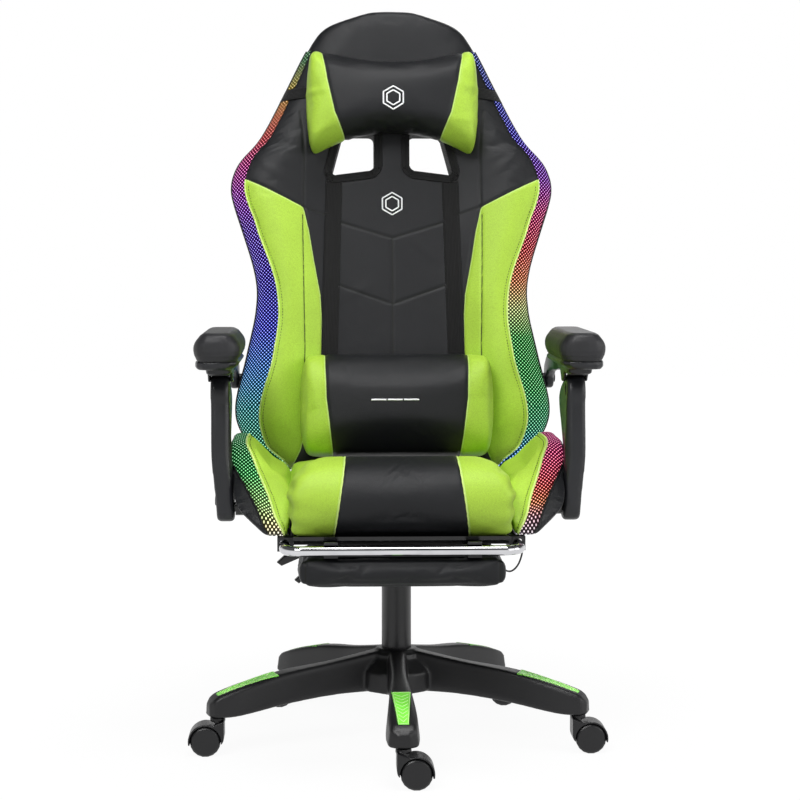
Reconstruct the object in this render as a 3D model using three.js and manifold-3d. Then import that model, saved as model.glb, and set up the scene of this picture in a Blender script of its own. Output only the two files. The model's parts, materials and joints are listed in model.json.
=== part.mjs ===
// Reclining gaming chair on a five-legged swivel base, with linked armrests and a pull-out footrest.
// Millimetres, +Z up. The origin is on the floor under the gas column, and the sitter faces -Y.
import * as THREE from 'three';
import { mergeVertices } from 'three/addons/utils/BufferGeometryUtils.js';
import Module from 'manifold-3d';

const wasm = await Module();
wasm.setup();

// ---------------------------------------------------------------- driving dimensions
const seat_gap = 0.3;               // clearance where one piece is seated on or in another
const run_gap = 0.3;                // radial clearance of a pin that turns in a bore

// star base
const leg_count = 5;
const caster_circle = 315;          // radius of the five caster stems
const leg_end = 332;                // radius of the leg tips
const leg_underside = 65;           // height of the caster seats
const hub_radius = 42;
const hub_top = 160;
const hub_bottom = 84;
const leg_wall = 4;
const insert_inner = 214;           // radial span of the coloured insert in each leg
const insert_outer = 316;
const insert_thickness = 3;

// casters
const wheel_radius = 25;
const wheel_width = 17;
const wheel_sides = 18;
const caster_trail = 20;            // wheel axle behind the stem
const caster_web = 8;               // wall between the two wheels
const hood_wall = 2.6;
const stem_radius = 5.5;
const stem_length = 27;
const axle_radius = 4;

// gas column
const tube_radius = 25;
const tube_top = 300;
const cylinder_radius = 14;
const cylinder_bottom = 112;
const cylinder_top = 345;
const rod_radius = 5;

// tilt mechanism
const housing_bottom = 322;
const housing_top = 359;
const housing_half_width = 46;
const tilt_pivot = { y: -55, z: 345 };
const pin_radius = 5;
const plate_thickness = 3;

// seat
const plate_top = 370;              // top of the steel seat plate
const cushion_bottom = 387;
const cushion_half_width = 175;
const cushion_front = -281;
const cushion_rear = 116;
const wing_height = 134;
const wing_rear = 96;

// back, in its own frame: x across, t towards the rear, s up along the back
const recline_axis = { y: 180, z: 415 };
const back_angle = 8.5 * Math.PI / 180;
const back_front = 38;              // foam in front of the frame plane
const back_rear = 30;               // foam and cover behind it
const hoop_radius = 11;

// armrests
const arm_pivot = { y: -110, z: 415 };      // lower pivot of the post, on the seat
const arm_link = { t: 0, s: 192 };          // rear pivot of the pad frame, on the back
const arm_pin = 8;
const arm_inner = cushion_half_width + 100;
const post_thickness = 27;
const post_sweep = 7;               // the foot of a post stands further in than its top
const pad_centre = arm_inner + 18;
const pad_width = 74;
const pad_front = -200;
const pad_length = 268;
const pad_thickness = 47;
const pad_top = 708;
const tray_thickness = 17;

// footrest
const slide_x = 185;                // side tubes of the slide frame
const slide_z = 371;
const slide_front = -290;
const slide_rear = 112;
const slide_tube = 8;
const footboard_half_width = 164;
const footboard_depth = 188;
const footboard_thickness = 47;

const TAU = 2 * Math.PI;
const chair = new THREE.Group();

// ---------------------------------------------------------------- finishes
const finishes = {
  moulded_plastic: [0x26262a, 0.55, 0],
  green_insert: [0x8fe866, 0.4, 0],
  wheel_plastic: [0x34343a, 0.6, 0],
  black_steel: [0x141416, 0.35, 0.6],
  bright_steel: [0xc8cacc, 0.25, 1],
  chrome: [0xe6e8ea, 0.08, 1],
  black_leather: [0x2e2f33, 0.5, 0],
  green_leather: [0x97c83f, 0.5, 0],
  light_mesh: [0x6a7cff, 0.7, 0],
  webbing: [0x151515, 0.85, 0],
};

function add(name, solid, finish, parent = chair) {
  const geometry = solid.getMesh ? geometryOf(solid) : solid;
  const [color, roughness, metalness] = finishes[finish];
  const mesh = new THREE.Mesh(geometry, new THREE.MeshStandardMaterial({ color, roughness, metalness }));
  mesh.name = name;
  parent.add(mesh);
  return mesh;
}

// ---------------------------------------------------------------- solids
function solidOf(geometry) {
  const bare = geometry.clone();
  bare.deleteAttribute('normal');
  bare.deleteAttribute('uv');
  const merged = mergeVertices(bare, 1e-4);
  const vertProperties = new Float32Array(merged.attributes.position.array);
  const triVerts = new Uint32Array(merged.index.array);
  return new wasm.Manifold(new wasm.Mesh({ numProp: 3, vertProperties, triVerts }));
}

function geometryOf(solid) {
  const mesh = solid.getMesh();
  const geometry = new THREE.BufferGeometry();
  geometry.setAttribute('position', new THREE.BufferAttribute(new Float32Array(mesh.vertProperties), 3));
  geometry.setIndex(new THREE.BufferAttribute(new Uint32Array(mesh.triVerts), 1));
  geometry.computeVertexNormals();
  return geometry;
}

const union = (solids) => solids.reduce((whole, next) => whole.add(next));

const placed = (solid, matrix) => solidOf(geometryOf(solid).applyMatrix4(matrix));
const shifted = (solid, x, y, z) => placed(solid, new THREE.Matrix4().makeTranslation(x, y, z));
const turned = (solid, degrees) => placed(solid, new THREE.Matrix4().makeRotationZ(degrees * Math.PI / 180));

// the mirror image across the plane of the given axis, with its faces turned outwards again
function mirrorOf(solid, axis) {
  const geometry = geometryOf(solid);
  const flip = { x: 1, y: 1, z: 1, [axis]: -1 };
  geometry.scale(flip.x, flip.y, flip.z);
  const index = geometry.index.array;
  for (let i = 0; i < index.length; i += 3) [index[i], index[i + 1]] = [index[i + 1], index[i]];
  return solidOf(geometry);
}

function mapped(geometry, place) {
  const position = geometry.attributes.position;
  for (let i = 0; i < position.count; i++) {
    const p = place(position.getX(i), position.getY(i), position.getZ(i));
    position.setXYZ(i, p[0], p[1], p[2]);
  }
  return geometry;
}

// flat outline through points; a point with four numbers is a quadratic curve: control, end
function outline(start, ...steps) {
  const shape = new THREE.Shape();
  shape.moveTo(start[0], start[1]);
  for (const step of steps) {
    if (step.length === 2) shape.lineTo(step[0], step[1]);
    else shape.quadraticCurveTo(step[0], step[1], step[2], step[3]);
  }
  return shape;
}

function roundedRect(width, height, radius) {
  const w = width / 2;
  const h = height / 2;
  return outline([-w + radius, -h], [w - radius, -h], [w, -h, w, -h + radius], [w, h - radius],
    [w, h, w - radius, h], [-w + radius, h], [-w, h, -w, h - radius], [-w, -h + radius],
    [-w, -h, -w + radius, -h]);
}

function prism(shape, from, to, { bevel = 0, rounds = 2, curve = 4, steps = 1 } = {}) {
  const geometry = new THREE.ExtrudeGeometry(shape, {
    depth: to - from - 2 * bevel, steps, curveSegments: curve, bevelEnabled: bevel > 0,
    bevelThickness: bevel, bevelSize: bevel, bevelOffset: -bevel, bevelSegments: rounds,
  });
  return geometry.translate(0, 0, from + bevel);
}

// the outline lies in the plane of Y and Z and is extruded along X
const sidePrism = (shape, from, to, options) =>
  mapped(prism(shape, from, to, options), (a, b, c) => [c, a, b]);

// the outline lies in the plane of X and Z and is extruded along Y
const frontPrism = (shape, from, to, options) =>
  mapped(prism(shape, -to, -from, options), (a, b, c) => [a, -c, b]);

function box(x0, x1, y0, y1, z0, z1) {
  const geometry = new THREE.BoxGeometry(x1 - x0, y1 - y0, z1 - z0);
  return geometry.translate((x0 + x1) / 2, (y0 + y1) / 2, (z0 + z1) / 2);
}

const upright = (points, sides) =>
  new THREE.LatheGeometry(points.map(([r, z]) => new THREE.Vector2(r, z)), sides).rotateX(Math.PI / 2);

const post = (radius, z0, z1, sides = 24) => upright([[0, z0], [radius, z0], [radius, z1], [0, z1]], sides);

const crossPin = (radius, x0, x1, y, z, sides = 16) =>
  post(radius, x0, x1, sides).rotateY(Math.PI / 2).translate(0, y, z);

// a path that is extruded from station to station: straight stretches take one step each
class StationPath extends THREE.Curve {
  constructor(stations) {
    super();
    this.stations = stations.map((p) => new THREE.Vector3(...p));
    this.steps = stations.length - 1;
  }

  getPointAt(u, target = new THREE.Vector3()) {
    return target.copy(this.stations[Math.round(u * this.steps)]);
  }

  getTangentAt(u, target = new THREE.Vector3()) {
    const i = Math.round(u * this.steps);
    const back = this.stations[Math.max(0, i - 1)];
    const next = this.stations[Math.min(this.steps, i + 1)];
    const here = this.stations[i];
    const into = here.clone().sub(back).normalize();
    const out = next.clone().sub(here).normalize();
    return target.copy(into).add(out).normalize();
  }
}

// a tube of round section along a curve
function tube(path, radius, steps, sides = 12) {
  const section = new THREE.Shape();
  for (let i = 0; i < sides; i++) {
    const a = i * TAU / sides;
    if (i === 0) section.moveTo(radius, 0);
    else section.lineTo(radius * Math.cos(a), radius * Math.sin(a));
  }
  return new THREE.ExtrudeGeometry(section, { steps, extrudePath: path, bevelEnabled: false });
}

// a closed solid whose cross-section at height 0..1 is given by section(angle, height)
function loft(section, around, stations) {
  const geometry = new THREE.CylinderGeometry(1, 1, 1, around, stations);
  return mapped(geometry, (x, y, z) => {
    const reach = Math.hypot(x, z);
    const angle = reach > 0.5 ? Math.atan2(z, x) : 0;
    return section(angle, y + 0.5, reach > 0.5 ? 1 : 0);
  });
}

// a soft slab: an outline in the plane of Y and Z between x0 and x1, rounded off over its two ends
function softSlab(shape, around, x0, x1, round, warp = (x, y, z) => [x, y, z]) {
  const ring = shape.getSpacedPoints(around).slice(0, around);
  if (THREE.ShapeUtils.isClockWise(ring)) ring.reverse();
  const spot = new THREE.Box2().setFromPoints(ring);
  const centre = spot.getCenter(new THREE.Vector2());
  const size = spot.getSize(new THREE.Vector2());
  const rounds = 2;
  const level = (k) => {
    const fromEnd = Math.min(k, 2 * rounds + 1 - k);
    const a = Math.min(1, fromEnd / rounds) * Math.PI / 2;
    const inset = round * (1 - Math.sin(a));
    const depth = round * (1 - Math.cos(a));
    return { x: k <= rounds ? x0 + depth : x1 - depth, inset };
  };
  const geometry = new THREE.CylinderGeometry(1, 1, 1, around, 2 * rounds + 1);
  return solidOf(mapped(geometry, (gx, gy, gz) => {
    const { x, inset } = level(Math.round((gy + 0.5) * (2 * rounds + 1)));
    if (Math.hypot(gx, gz) < 0.5) return warp(x, centre.x, centre.y);
    const turn = (Math.atan2(gx, gz) / TAU + 1) % 1;
    const p = ring[Math.round(turn * around) % around];
    const y = centre.x + (p.x - centre.x) * (1 - 2 * inset / size.x);
    const z = centre.y + (p.y - centre.y) * (1 - 2 * inset / size.y);
    return warp(x, y, z);
  }));
}

const signedPower = (value, exponent) => Math.sign(value) * Math.abs(value) ** exponent;
const mix = (a, b, share) => a + (b - a) * share;

function smooth(from, to, value) {
  const share = Math.min(1, Math.max(0, (value - from) / (to - from)));
  return share * share * (3 - 2 * share);
}

// smooth curve value = f(position) through a few [position, value] pairs
function curveThrough(knots) {
  const slope = (i) => {
    const a = knots[Math.max(0, i - 1)];
    const b = knots[Math.min(knots.length - 1, i + 1)];
    return (b[1] - a[1]) / (b[0] - a[0]);
  };
  return (position) => {
    let i = 0;
    while (i < knots.length - 2 && position > knots[i + 1][0]) i++;
    const [x0, y0] = knots[i];
    const [x1, y1] = knots[i + 1];
    const span = x1 - x0;
    const u = Math.min(1, Math.max(0, (position - x0) / span));
    const rise = (1 + 2 * u) * (1 - u) ** 2 * y0 + u * u * (3 - 2 * u) * y1;
    return rise + span * (u * (1 - u) ** 2 * slope(i) - u * u * (1 - u) * slope(i + 1));
  };
}

const mirrored = (name, solid, finish, parent) => {
  add(`${name}_left`, solid, finish, parent);
  add(`${name}_right`, mirrorOf(solid, 'x'), finish, parent);
};

// ---------------------------------------------------------------- star base
// half widths of a leg in plan, and its top and bottom edges seen from the side, along the leg
const leg_plan = [[0, 20], [115, 15], [200, 21], [280, 26], [leg_end - 14, 23], [leg_end, 16]];
const leg_crown = curveThrough([[30, hub_top - 2], [115, 143], [214, 129], [leg_end - 14, 100], [leg_end, 86]]);
const leg_soffit = curveThrough([[30, 88], [115, 86], [200, 78], [288, leg_underside], [leg_end, leg_underside]]);

function legPlan(inset, from, to) {
  const width = curveThrough(leg_plan);
  const reach = Array.from({ length: 7 }, (_, i) => mix(from, to, i / 6));
  const side = reach.map((r) => [r, width(r) - inset]);
  const other = [...side].reverse().map(([r, w]) => [r, -w]);
  return outline(side[0], ...side.slice(1), ...other);
}

function legSide(from, to, top, bottom) {
  const reach = Array.from({ length: 7 }, (_, i) => mix(from, to, i / 6));
  const upper = reach.map((r) => [r, top(r)]);
  const lower = [...reach].reverse().map((r) => [r, bottom(r)]);
  return outline(upper[0], ...upper.slice(1), ...lower);
}

const alongLeg = (shape, half) => frontPrism(shape, -half, half);

function legSolid() {
  const body = solidOf(prism(legPlan(0, 0, leg_end), 40, 200))
    .intersect(solidOf(alongLeg(legSide(0, leg_end, leg_crown, leg_soffit), 60)));
  const open = (r) => leg_soffit(r) - 5;
  const roof = (r) => leg_crown(r) - leg_wall - insert_thickness;
  const pocketEnd = caster_circle - 14;
  const pocket = solidOf(prism(legPlan(leg_wall, hub_radius + 8, pocketEnd), 40, 200))
    .intersect(solidOf(alongLeg(legSide(hub_radius + 8, pocketEnd, roof, open), 60)));
  const ribs = [110, 170, 230].map((r) => solidOf(box(r - 1.5, r + 1.5, -40, 40, 70, 200)));
  const socket = solidOf(post(stem_radius + run_gap, 0, leg_underside + stem_length + 1, 12)
    .translate(caster_circle, 0, 0));
  return body.subtract(pocket.subtract(union(ribs))).subtract(socket);
}

// the insert lies flush in the top of the leg and narrows towards its tip
function insertOutline(grow) {
  return outline([insert_inner - grow, -15.5 - grow], [insert_outer + grow, -8.5 - grow],
    [insert_outer + grow, 8.5 + grow], [insert_inner - grow, 15.5 + grow]);
}

function insertSolid(grow) {
  const span = [insert_inner - 4, insert_outer + 4];
  const top = (r) => leg_crown(r) + (grow ? 5 : 0);
  const bottom = (r) => leg_crown(r) - insert_thickness - grow;
  return solidOf(prism(insertOutline(grow), 60, 200))
    .intersect(solidOf(alongLeg(legSide(span[0], span[1], top, bottom), 40)));
}

const legAngle = (i) => -90 + i * 360 / leg_count;

function makeBase() {
  const leg = legSolid().subtract(insertSolid(seat_gap));
  const hub = solidOf(upright([[0, hub_bottom], [hub_radius - 4, hub_bottom], [hub_radius, hub_bottom + 6],
    [hub_radius, 140], [tube_radius + 8, hub_top], [0, hub_top]], 30));
  const web = solidOf(prism(outline([0, -26], [76, -9], [76, 9], [0, 26]), hub_bottom + 6, 128));
  const bore = solidOf(post(tube_radius + seat_gap, 0, 200, 24));
  const legs = Array.from({ length: leg_count }, (_, i) => turned(leg, legAngle(i)));
  const webs = Array.from({ length: leg_count }, (_, i) => turned(web, legAngle(i + 0.5)));
  add('star_base', union([hub, ...legs]).add(union(webs).intersect(webLimit())).subtract(bore), 'moulded_plastic');
  for (let i = 0; i < leg_count; i++) {
    add(`leg_insert_${i + 1}`, turned(insertSolid(0), legAngle(i)), 'green_insert');
  }
}

// the webs between the legs fall away from the hub
const webLimit = () => solidOf(upright([[0, hub_bottom], [66, hub_bottom + 4], [70, 108], [hub_radius, 132],
  [0, 132]], 30));

// ---------------------------------------------------------------- casters
// The housing is drawn with its stem on the origin and its wheels behind it, towards +X.
function casterHousing() {
  const axle = { x: caster_trail, z: wheel_radius };
  const inner = wheel_radius + 1.2;
  const outer = inner + hood_wall;
  const half = caster_web / 2 + wheel_width + 0.8;
  const hood = new THREE.Shape();
  const start = -12 * Math.PI / 180;
  hood.moveTo(axle.x + outer * Math.cos(start), axle.z + outer * Math.sin(start));
  hood.absarc(axle.x, axle.z, outer, start, 0.62 * Math.PI, false);
  hood.lineTo(-11, leg_underside - 5.5);
  hood.lineTo(-11, wheel_radius + 6);
  hood.quadraticCurveTo(-10, wheel_radius - 4, -4, wheel_radius - 5);
  hood.lineTo(axle.x - inner + 6, wheel_radius - 5);
  hood.lineTo(axle.x, axle.z - 7);
  hood.lineTo(axle.x + 10, axle.z - 7);
  const shell = solidOf(frontPrism(hood, -half, half, { curve: 5 }));
  const bay = (side) => solidOf(crossPin(inner, 0, wheel_width + 4, 0, 0, 18).rotateZ(side * Math.PI / 2)
    .translate(axle.x, side * caster_web / 2, axle.z));
  const neck = solidOf(upright([[0, leg_underside - 9], [13, leg_underside - 9], [13, leg_underside - 3],
    [11, leg_underside - seat_gap], [stem_radius, leg_underside - seat_gap],
    [stem_radius, leg_underside + stem_length], [0, leg_underside + stem_length]], 12));
  const bore = solidOf(crossPin(axle_radius + run_gap, -half, half, 0, 0, 12).rotateZ(Math.PI / 2)
    .translate(axle.x, 0, axle.z));
  return shell.subtract(bay(1)).subtract(bay(-1)).add(neck).subtract(bore);
}

// two wheels pressed on a common axle, each with a dished outer face
function casterWheels() {
  const facet = wheel_radius / Math.cos(Math.PI / wheel_sides);
  const w = wheel_width;
  const near = caster_web / 2 + 0.5;
  const profile = [[0, near], [facet - 2, near], [facet, near + 2], [facet, near + w - 4],
    [facet - 4, near + w], [0, near + w - 1]];
  const level = (geometry) => geometry.rotateX(-Math.PI / 2).rotateY(Math.PI / wheel_sides)
    .translate(caster_trail, 0, wheel_radius);
  const wheel = solidOf(level(upright(profile, wheel_sides)));
  const axle = solidOf(level(post(axle_radius, -near - 1, near + 1, 12)));
  return wheel.add(mirrorOf(wheel, 'y')).add(axle);
}

// which way each caster has swung: the wheels trail to -X on one side and +X on the other
const trailsLeft = [false, false, false, true, true];

function makeCasters() {
  const housing = casterHousing();
  const wheels = casterWheels();
  for (let i = 0; i < leg_count; i++) {
    const a = legAngle(i) * Math.PI / 180;
    const place = new THREE.Group();
    place.position.set(caster_circle * Math.cos(a), caster_circle * Math.sin(a), 0);
    place.rotation.z = trailsLeft[i] ? Math.PI : 0;
    chair.add(place);
    add(`caster_housing_${i + 1}`, housing, 'moulded_plastic', place);
    add(`caster_wheels_${i + 1}`, wheels, 'wheel_plastic', place);
  }
}

// ---------------------------------------------------------------- gas column
function makeColumn() {
  const floor = hub_bottom + 8;
  const inner = tube_radius - 2.5;
  const guide = cylinder_radius + 0.5;
  add('stand_tube', solidOf(upright([[0, hub_bottom + 2], [tube_radius, hub_bottom + 2],
    [tube_radius, tube_top - 2], [tube_radius - 2, tube_top], [guide, tube_top], [guide, tube_top - 60],
    [inner, tube_top - 66], [inner, floor], [0, floor]], 24)), 'moulded_plastic');
  add('piston_rod', solidOf(upright([[0, floor + seat_gap], [12, floor + seat_gap], [12, floor + 8],
    [rod_radius, floor + 9], [rod_radius, 290], [0, 290]], 16)), 'bright_steel');
  const bore = rod_radius + run_gap;
  add('gas_cylinder', solidOf(upright([[bore, cylinder_bottom], [cylinder_radius, cylinder_bottom],
    [cylinder_radius, cylinder_top - 20], [cylinder_radius - 1.2, cylinder_top], [0, cylinder_top],
    [0, cylinder_top - 12], [bore, cylinder_top - 12], [bore, cylinder_bottom]], 20)), 'black_steel');
}

// ---------------------------------------------------------------- tilt mechanism
const plate_bottom = plate_top - plate_thickness;

function makeMechanism() {
  const { y, z } = tilt_pivot;
  const side = outline([-96, housing_bottom + 8], [-88, housing_bottom], [84, housing_bottom], [86, 333],
    [-30, housing_top - 1], [-40, housing_top], [-90, housing_top], [-96, housing_top - 6]);
  const pan = solidOf(sidePrism(side, -housing_half_width, housing_half_width, { bevel: 2, rounds: 1, curve: 2 }));
  const boss = solidOf(upright([[0, 305], [19, 305], [24, housing_bottom + 1], [0, housing_bottom + 1]], 20));
  const bore = solidOf(upright([[0, 300], [cylinder_radius + seat_gap, 300],
    [cylinder_radius + seat_gap, cylinder_top - 20], [cylinder_radius - 1.2 + seat_gap, cylinder_top],
    [cylinder_radius - 1.2 + seat_gap, 380], [0, 380]], 20));
  const pivot = solidOf(crossPin(pin_radius + run_gap, -60, 60, y, z));
  const springBay = solidOf(box(-30, 30, -82, -66, housing_bottom + 4, 400));
  add('mechanism_housing', pan.add(boss).subtract(bore).subtract(pivot).subtract(springBay), 'black_steel');

  const ear = outline([y - 18, plate_bottom + 1], [y - 14, z - 8], [y, z - 18, y + 14, z - 8],
    [y + 18, plate_bottom + 1]);
  const half = housing_half_width + 2;
  const ears = [-half - 3, half].map((x) => solidOf(sidePrism(ear, x, x + 3)));
  const plate = solidOf(prism(roundedRect(210, 226, 16), plate_bottom, plate_top));
  const pin = solidOf(crossPin(pin_radius, -half - 6, half + 6, y, z));
  add('seat_plate', plate.add(union(ears)).add(pin), 'black_steel');

  const grip = new THREE.Shape();
  for (let i = 0; i < 40; i++) {
    const r = i % 4 < 2 ? 21 : 19.5;
    const a = i * TAU / 40;
    if (i === 0) grip.moveTo(r, 0);
    else grip.lineTo(r * Math.cos(a), r * Math.sin(a));
  }
  const knob = solidOf(prism(grip, 290, 312)).add(solidOf(post(6, 311, housing_bottom - seat_gap, 16)));
  add('tension_knob', shifted(knob, 0, -62, 0), 'moulded_plastic');

  add('height_lever', leverSolid({ y: 6, z: 340, reach: 203, drop: 32, blade: 42 }), 'moulded_plastic');
  add('tilt_lever', leverSolid({ y: 44, z: 331, reach: 174, drop: 60, blade: 34 }), 'moulded_plastic');
}

// a bent rod that leaves the housing towards -X and ends in a flat paddle
function leverSolid({ y, z, reach, drop, blade }) {
  const from = -housing_half_width - 3 * seat_gap;
  const path = new THREE.CatmullRomCurve3([
    new THREE.Vector3(from, y, z), new THREE.Vector3(from - 30, y, z - 1),
    new THREE.Vector3(mix(from, -reach, 0.55), y, z - drop * 0.35),
    new THREE.Vector3(-reach + blade * 0.7, y, z - drop * 0.72)]);
  const rod = solidOf(tube(path, 4, 8, 10));
  const paddle = outline([-reach, z - drop - 3], [-reach + 8, z - drop - 9], [-reach + blade, z - drop * 0.6 - 7],
    [-reach + blade + 4, z - drop * 0.55 + 4], [-reach + 12, z - drop + 8]);
  return rod.add(solidOf(frontPrism(paddle, y - 8, y + 8, { bevel: 2, rounds: 1 })));
}

// ---------------------------------------------------------------- seat
const frame_top = cushion_bottom - seat_gap;
const frame_bottom = plate_top + seat_gap;
const frame_half = slide_x - slide_tube - 6;
const frame_rear = 138;
const frame_front = -232;

function makeSeatFrame() {
  const rails = [-1, 1].map((side) => {
    const x = side * (frame_half - 12);
    return solidOf(box(x - 12, x + 12, frame_front, frame_rear - 2, frame_bottom, frame_top));
  });
  const crosses = [frame_front + 10, -70, 60, frame_rear - 12].map((y) =>
    solidOf(box(-frame_half, frame_half, y - 12, y + 12, frame_bottom, frame_top)));
  const lip = slide_z + slide_tube + 1.6;
  const bar = solidOf(box(-frame_half, frame_half, -262, -246, lip, frame_top));
  const stays = [-1, 1].map((side) => solidOf(box(side * 120 - 10, side * 120 + 10, -250, -230, lip, frame_top)));
  const arms = armShaft();
  add('seat_frame', union([...rails, ...crosses, bar, ...stays, arms, mirrorOf(arms, 'x')]), 'black_steel');
}

// a plate between cushion and wing that carries the lower pivot of the armrest post
function armShaft() {
  const { y, z } = arm_pivot;
  const x = cushion_half_width + 0.5;
  const low = slide_z + slide_tube + 3.4;
  const plate = box(x, x + 2, y - 22, y + 22, low, z + 14);
  const strap = box(frame_half - 4, x + 1, y - 22, y + 22, low, frame_top);
  const foot = arm_inner - post_sweep;
  const shaft = crossPin(arm_pin, x, foot + post_thickness - 7, y, z);
  const collar = crossPin(arm_pin + 6, wingOuter(z) + 4, foot - 1, y, z, 20);
  return union([plate, strap, shaft, collar].map(solidOf));
}

function makeCushion() {
  const b = cushion_bottom;
  const f = cushion_front;
  const r = cushion_rear;
  const side = outline([r, b + 18], [r, b, r - 18, b], [f + 30, b], [f + 4, b, f + 1, b + 30], [f - 2, b + 56],
    [f - 1, b + 104, f + 36, b + 118], [f + 66, b + 128, f + 132, b + 102], [-70, b + 80, 30, b + 80],
    [r - 20, b + 82, r, b + 78]);
  add('seat_cushion', softSlab(side, 30, -cushion_half_width, cushion_half_width, 14), 'black_leather');
}

// inner and outer face of a side wing, measured from the cushion, at a given height above its foot
const wing_foot = cushion_bottom - 4;
const wingLap = curveThrough([[0, 3], [70, 9], [wing_height - 8, 55], [wing_height, 62]]);
const wingBulge = curveThrough([[0, 40], [16, 54], [30, 72], [44, 84], [66, 90], [wing_height, 93]]);
const wingInner = (z) => cushion_half_width + wingLap(z - wing_foot);
const wingOuter = (z) => cushion_half_width + wingBulge(z - wing_foot);

const wing_depth = 50;
const wingPlace = (x, y, z) => [mix(wingInner(z), wingOuter(z), x / wing_depth), y, z];

function makeWings() {
  const z0 = wing_foot;
  const top = z0 + wing_height;
  const side = outline([wing_rear, z0], [wing_rear, top - 14], [wing_rear, top, wing_rear - 16, top], [-10, top],
    [-56, top, -80, top - 22], [-216, z0 + 26], [-230, z0 + 18, -226, z0 + 4], [-210, z0]);
  const wing = softSlab(side, 30, 0, wing_depth, 10, wingPlace);
  const strip = (grow) => outline([-12, top - 9 - grow], [-12, top + 30], [-260, top + 30], [-260, z0 - 10],
    [-206 + grow, z0 - 10], [-206 + grow, z0 + 18 - grow], [-76, top - 31 - grow], [-50, top - 12 - grow]);
  const band = (grow) => solidOf(mapped(sidePrism(strip(grow), -grow, 200),
    (x, y, z) => [x + cushion_half_width + 15 + (z - z0) * 0.45, y, z]));
  const shaftBore = solidOf(crossPin(arm_pin + seat_gap, 170, 300, arm_pivot.y, arm_pivot.z));
  mirrored('seat_side', wing.subtract(band(seat_gap)).subtract(shaftBore), 'green_leather');
  mirrored('seat_light_band', wing.intersect(band(0)), 'light_mesh');
}

// ---------------------------------------------------------------- reclining hinge
const seat_bracket_x = [212, 218];
const back_bracket_x = [204.5, 210.5];

function makeRecliners() {
  const { y, z } = recline_axis;
  const [x0, x1] = seat_bracket_x;
  const strap = outline([y + 36, z], [y + 34, z + 30, y, z + 36], [y - 30, z + 32, y - 36, z],
    [y - 40, z - 26, frame_rear - 22, frame_bottom + 5], [frame_rear - 22, frame_bottom],
    [y + 4, frame_bottom], [y + 34, frame_bottom + 4, y + 36, z]);
  const foot = box(frame_half + seat_gap, x1, frame_rear - 22, frame_rear - 2, frame_bottom, frame_bottom + 5);
  const pin = crossPin(8, x0 - 7.5, x1 + 3, y, z, 16);
  const plate = solidOf(sidePrism(strap, x0, x1, { curve: 4 })).add(solidOf(foot)).add(solidOf(pin));
  mirrored('seat_hinge_plate', plate, 'black_steel');
  const cap = solidOf(crossPin(38, x1 + seat_gap, x1 + 14, y, z, 28))
    .subtract(solidOf(crossPin(8 + seat_gap, x1 - 2, x1 + 4, y, z, 20)));
  mirrored('hinge_cover', cap, 'moulded_plastic');
}

// pulled up at the sitter's right to let the back go
function makeReclineLever() {
  const { y, z } = recline_axis;
  const out = arm_inner + post_thickness + 16;
  const hub = solidOf(crossPin(9, -out - 1, -(seat_bracket_x[1] + 14.4), y, z, 16));
  const blade = outline([y + 12, z - 6], [y + 14, z + 12, y, z + 12], [y - 60, z + 9], [y - 104, z + 4],
    [y - 116, z - 2, y - 106, z - 12], [y - 50, z - 12], [y, z - 12]);
  add('recline_lever', hub.add(solidOf(sidePrism(blade, -out - 3, -out + 5, { bevel: 1.5, rounds: 1 }))), 'moulded_plastic');
}

// ---------------------------------------------------------------- back
const back_foot = 36;
const back_crown = 859;
const backHalf = curveThrough([[back_foot, 196], [70, 252], [128, 279], [224, 258], [345, 240], [460, 266],
  [540, 287], [650, 219], [722, 182], [800, 142], [832, 113], [back_crown, 40]]);
const backBolster = curveThrough([[back_foot, 20], [150, 50], [300, 46], [540, 34], [680, 12], [back_crown, 0]]);
const back_around = 20;
const back_stations = 15;

const onBack = (x, t, s) => {
  const c = Math.cos(back_angle);
  const n = Math.sin(back_angle);
  return [x, recline_axis.y + s * n + t * c, recline_axis.z + s * c - t * n];
};

function backSolid(grow) {
  return solidOf(loft((angle, height, rim) => {
    const share = (1 - Math.cos(Math.PI * height)) / 2;
    const level = mix(back_foot, back_crown, share);
    const s = mix(back_foot - grow, back_crown + grow, share);
    const x = rim * signedPower(Math.cos(angle), 0.55) * (backHalf(level) + grow);
    const out = smooth(0.36, 0.82, Math.abs(x) / backHalf(level));
    const end = Math.min(1, 0.6 + Math.sin(Math.PI * height) * 2);
    const front = (back_front + grow + backBolster(level) * out) * end;
    const thick = Math.sin(angle) > 0 ? -front : (back_rear + grow) * end;
    return onBack(x, rim * Math.abs(Math.sin(angle)) ** 0.5 * thick, s);
  }, back_around, back_stations));
}

// an outline drawn across the back (x, s) and extruded through its thickness
function throughBack(shape, from, to, options) {
  return solidOf(mapped(frontPrism(shape, from, to, options), (x, t, s) => onBack(x, t, s)));
}

// inverted U of steel tube in the foam; its two ends come out at the foot
const hoop_foot = { x: 193, s: -6 };
function hoopPath() {
  const right = [[hoop_foot.x, hoop_foot.s], [194, 60], [212, 130], [204, 300], [212, 470], [196, 600], [128, 742]];
  const points = [...right, [0, 800], ...[...right].reverse().map(([x, s]) => [-x, s])];
  const curve = new THREE.CatmullRomCurve3(points.map(([x, s]) => new THREE.Vector3(x, s, 0)));
  return new StationPath(curve.getSpacedPoints(24).map((p) => onBack(p.x, 0, p.y)));
}

function hoopSolid(grow) {
  const path = hoopPath();
  const lugs = [-1, 1].map((side) => {
    const [, y, z] = onBack(0, arm_link.t, arm_link.s);
    const ends = side > 0 ? [206, 292 + grow * 40] : [-292 - grow * 40, -206];
    return solidOf(crossPin(arm_pin + grow, ...ends, y, z, 16));
  });
  return union([solidOf(tube(path, hoop_radius + grow, path.steps, 8)), ...lugs]);
}

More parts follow.
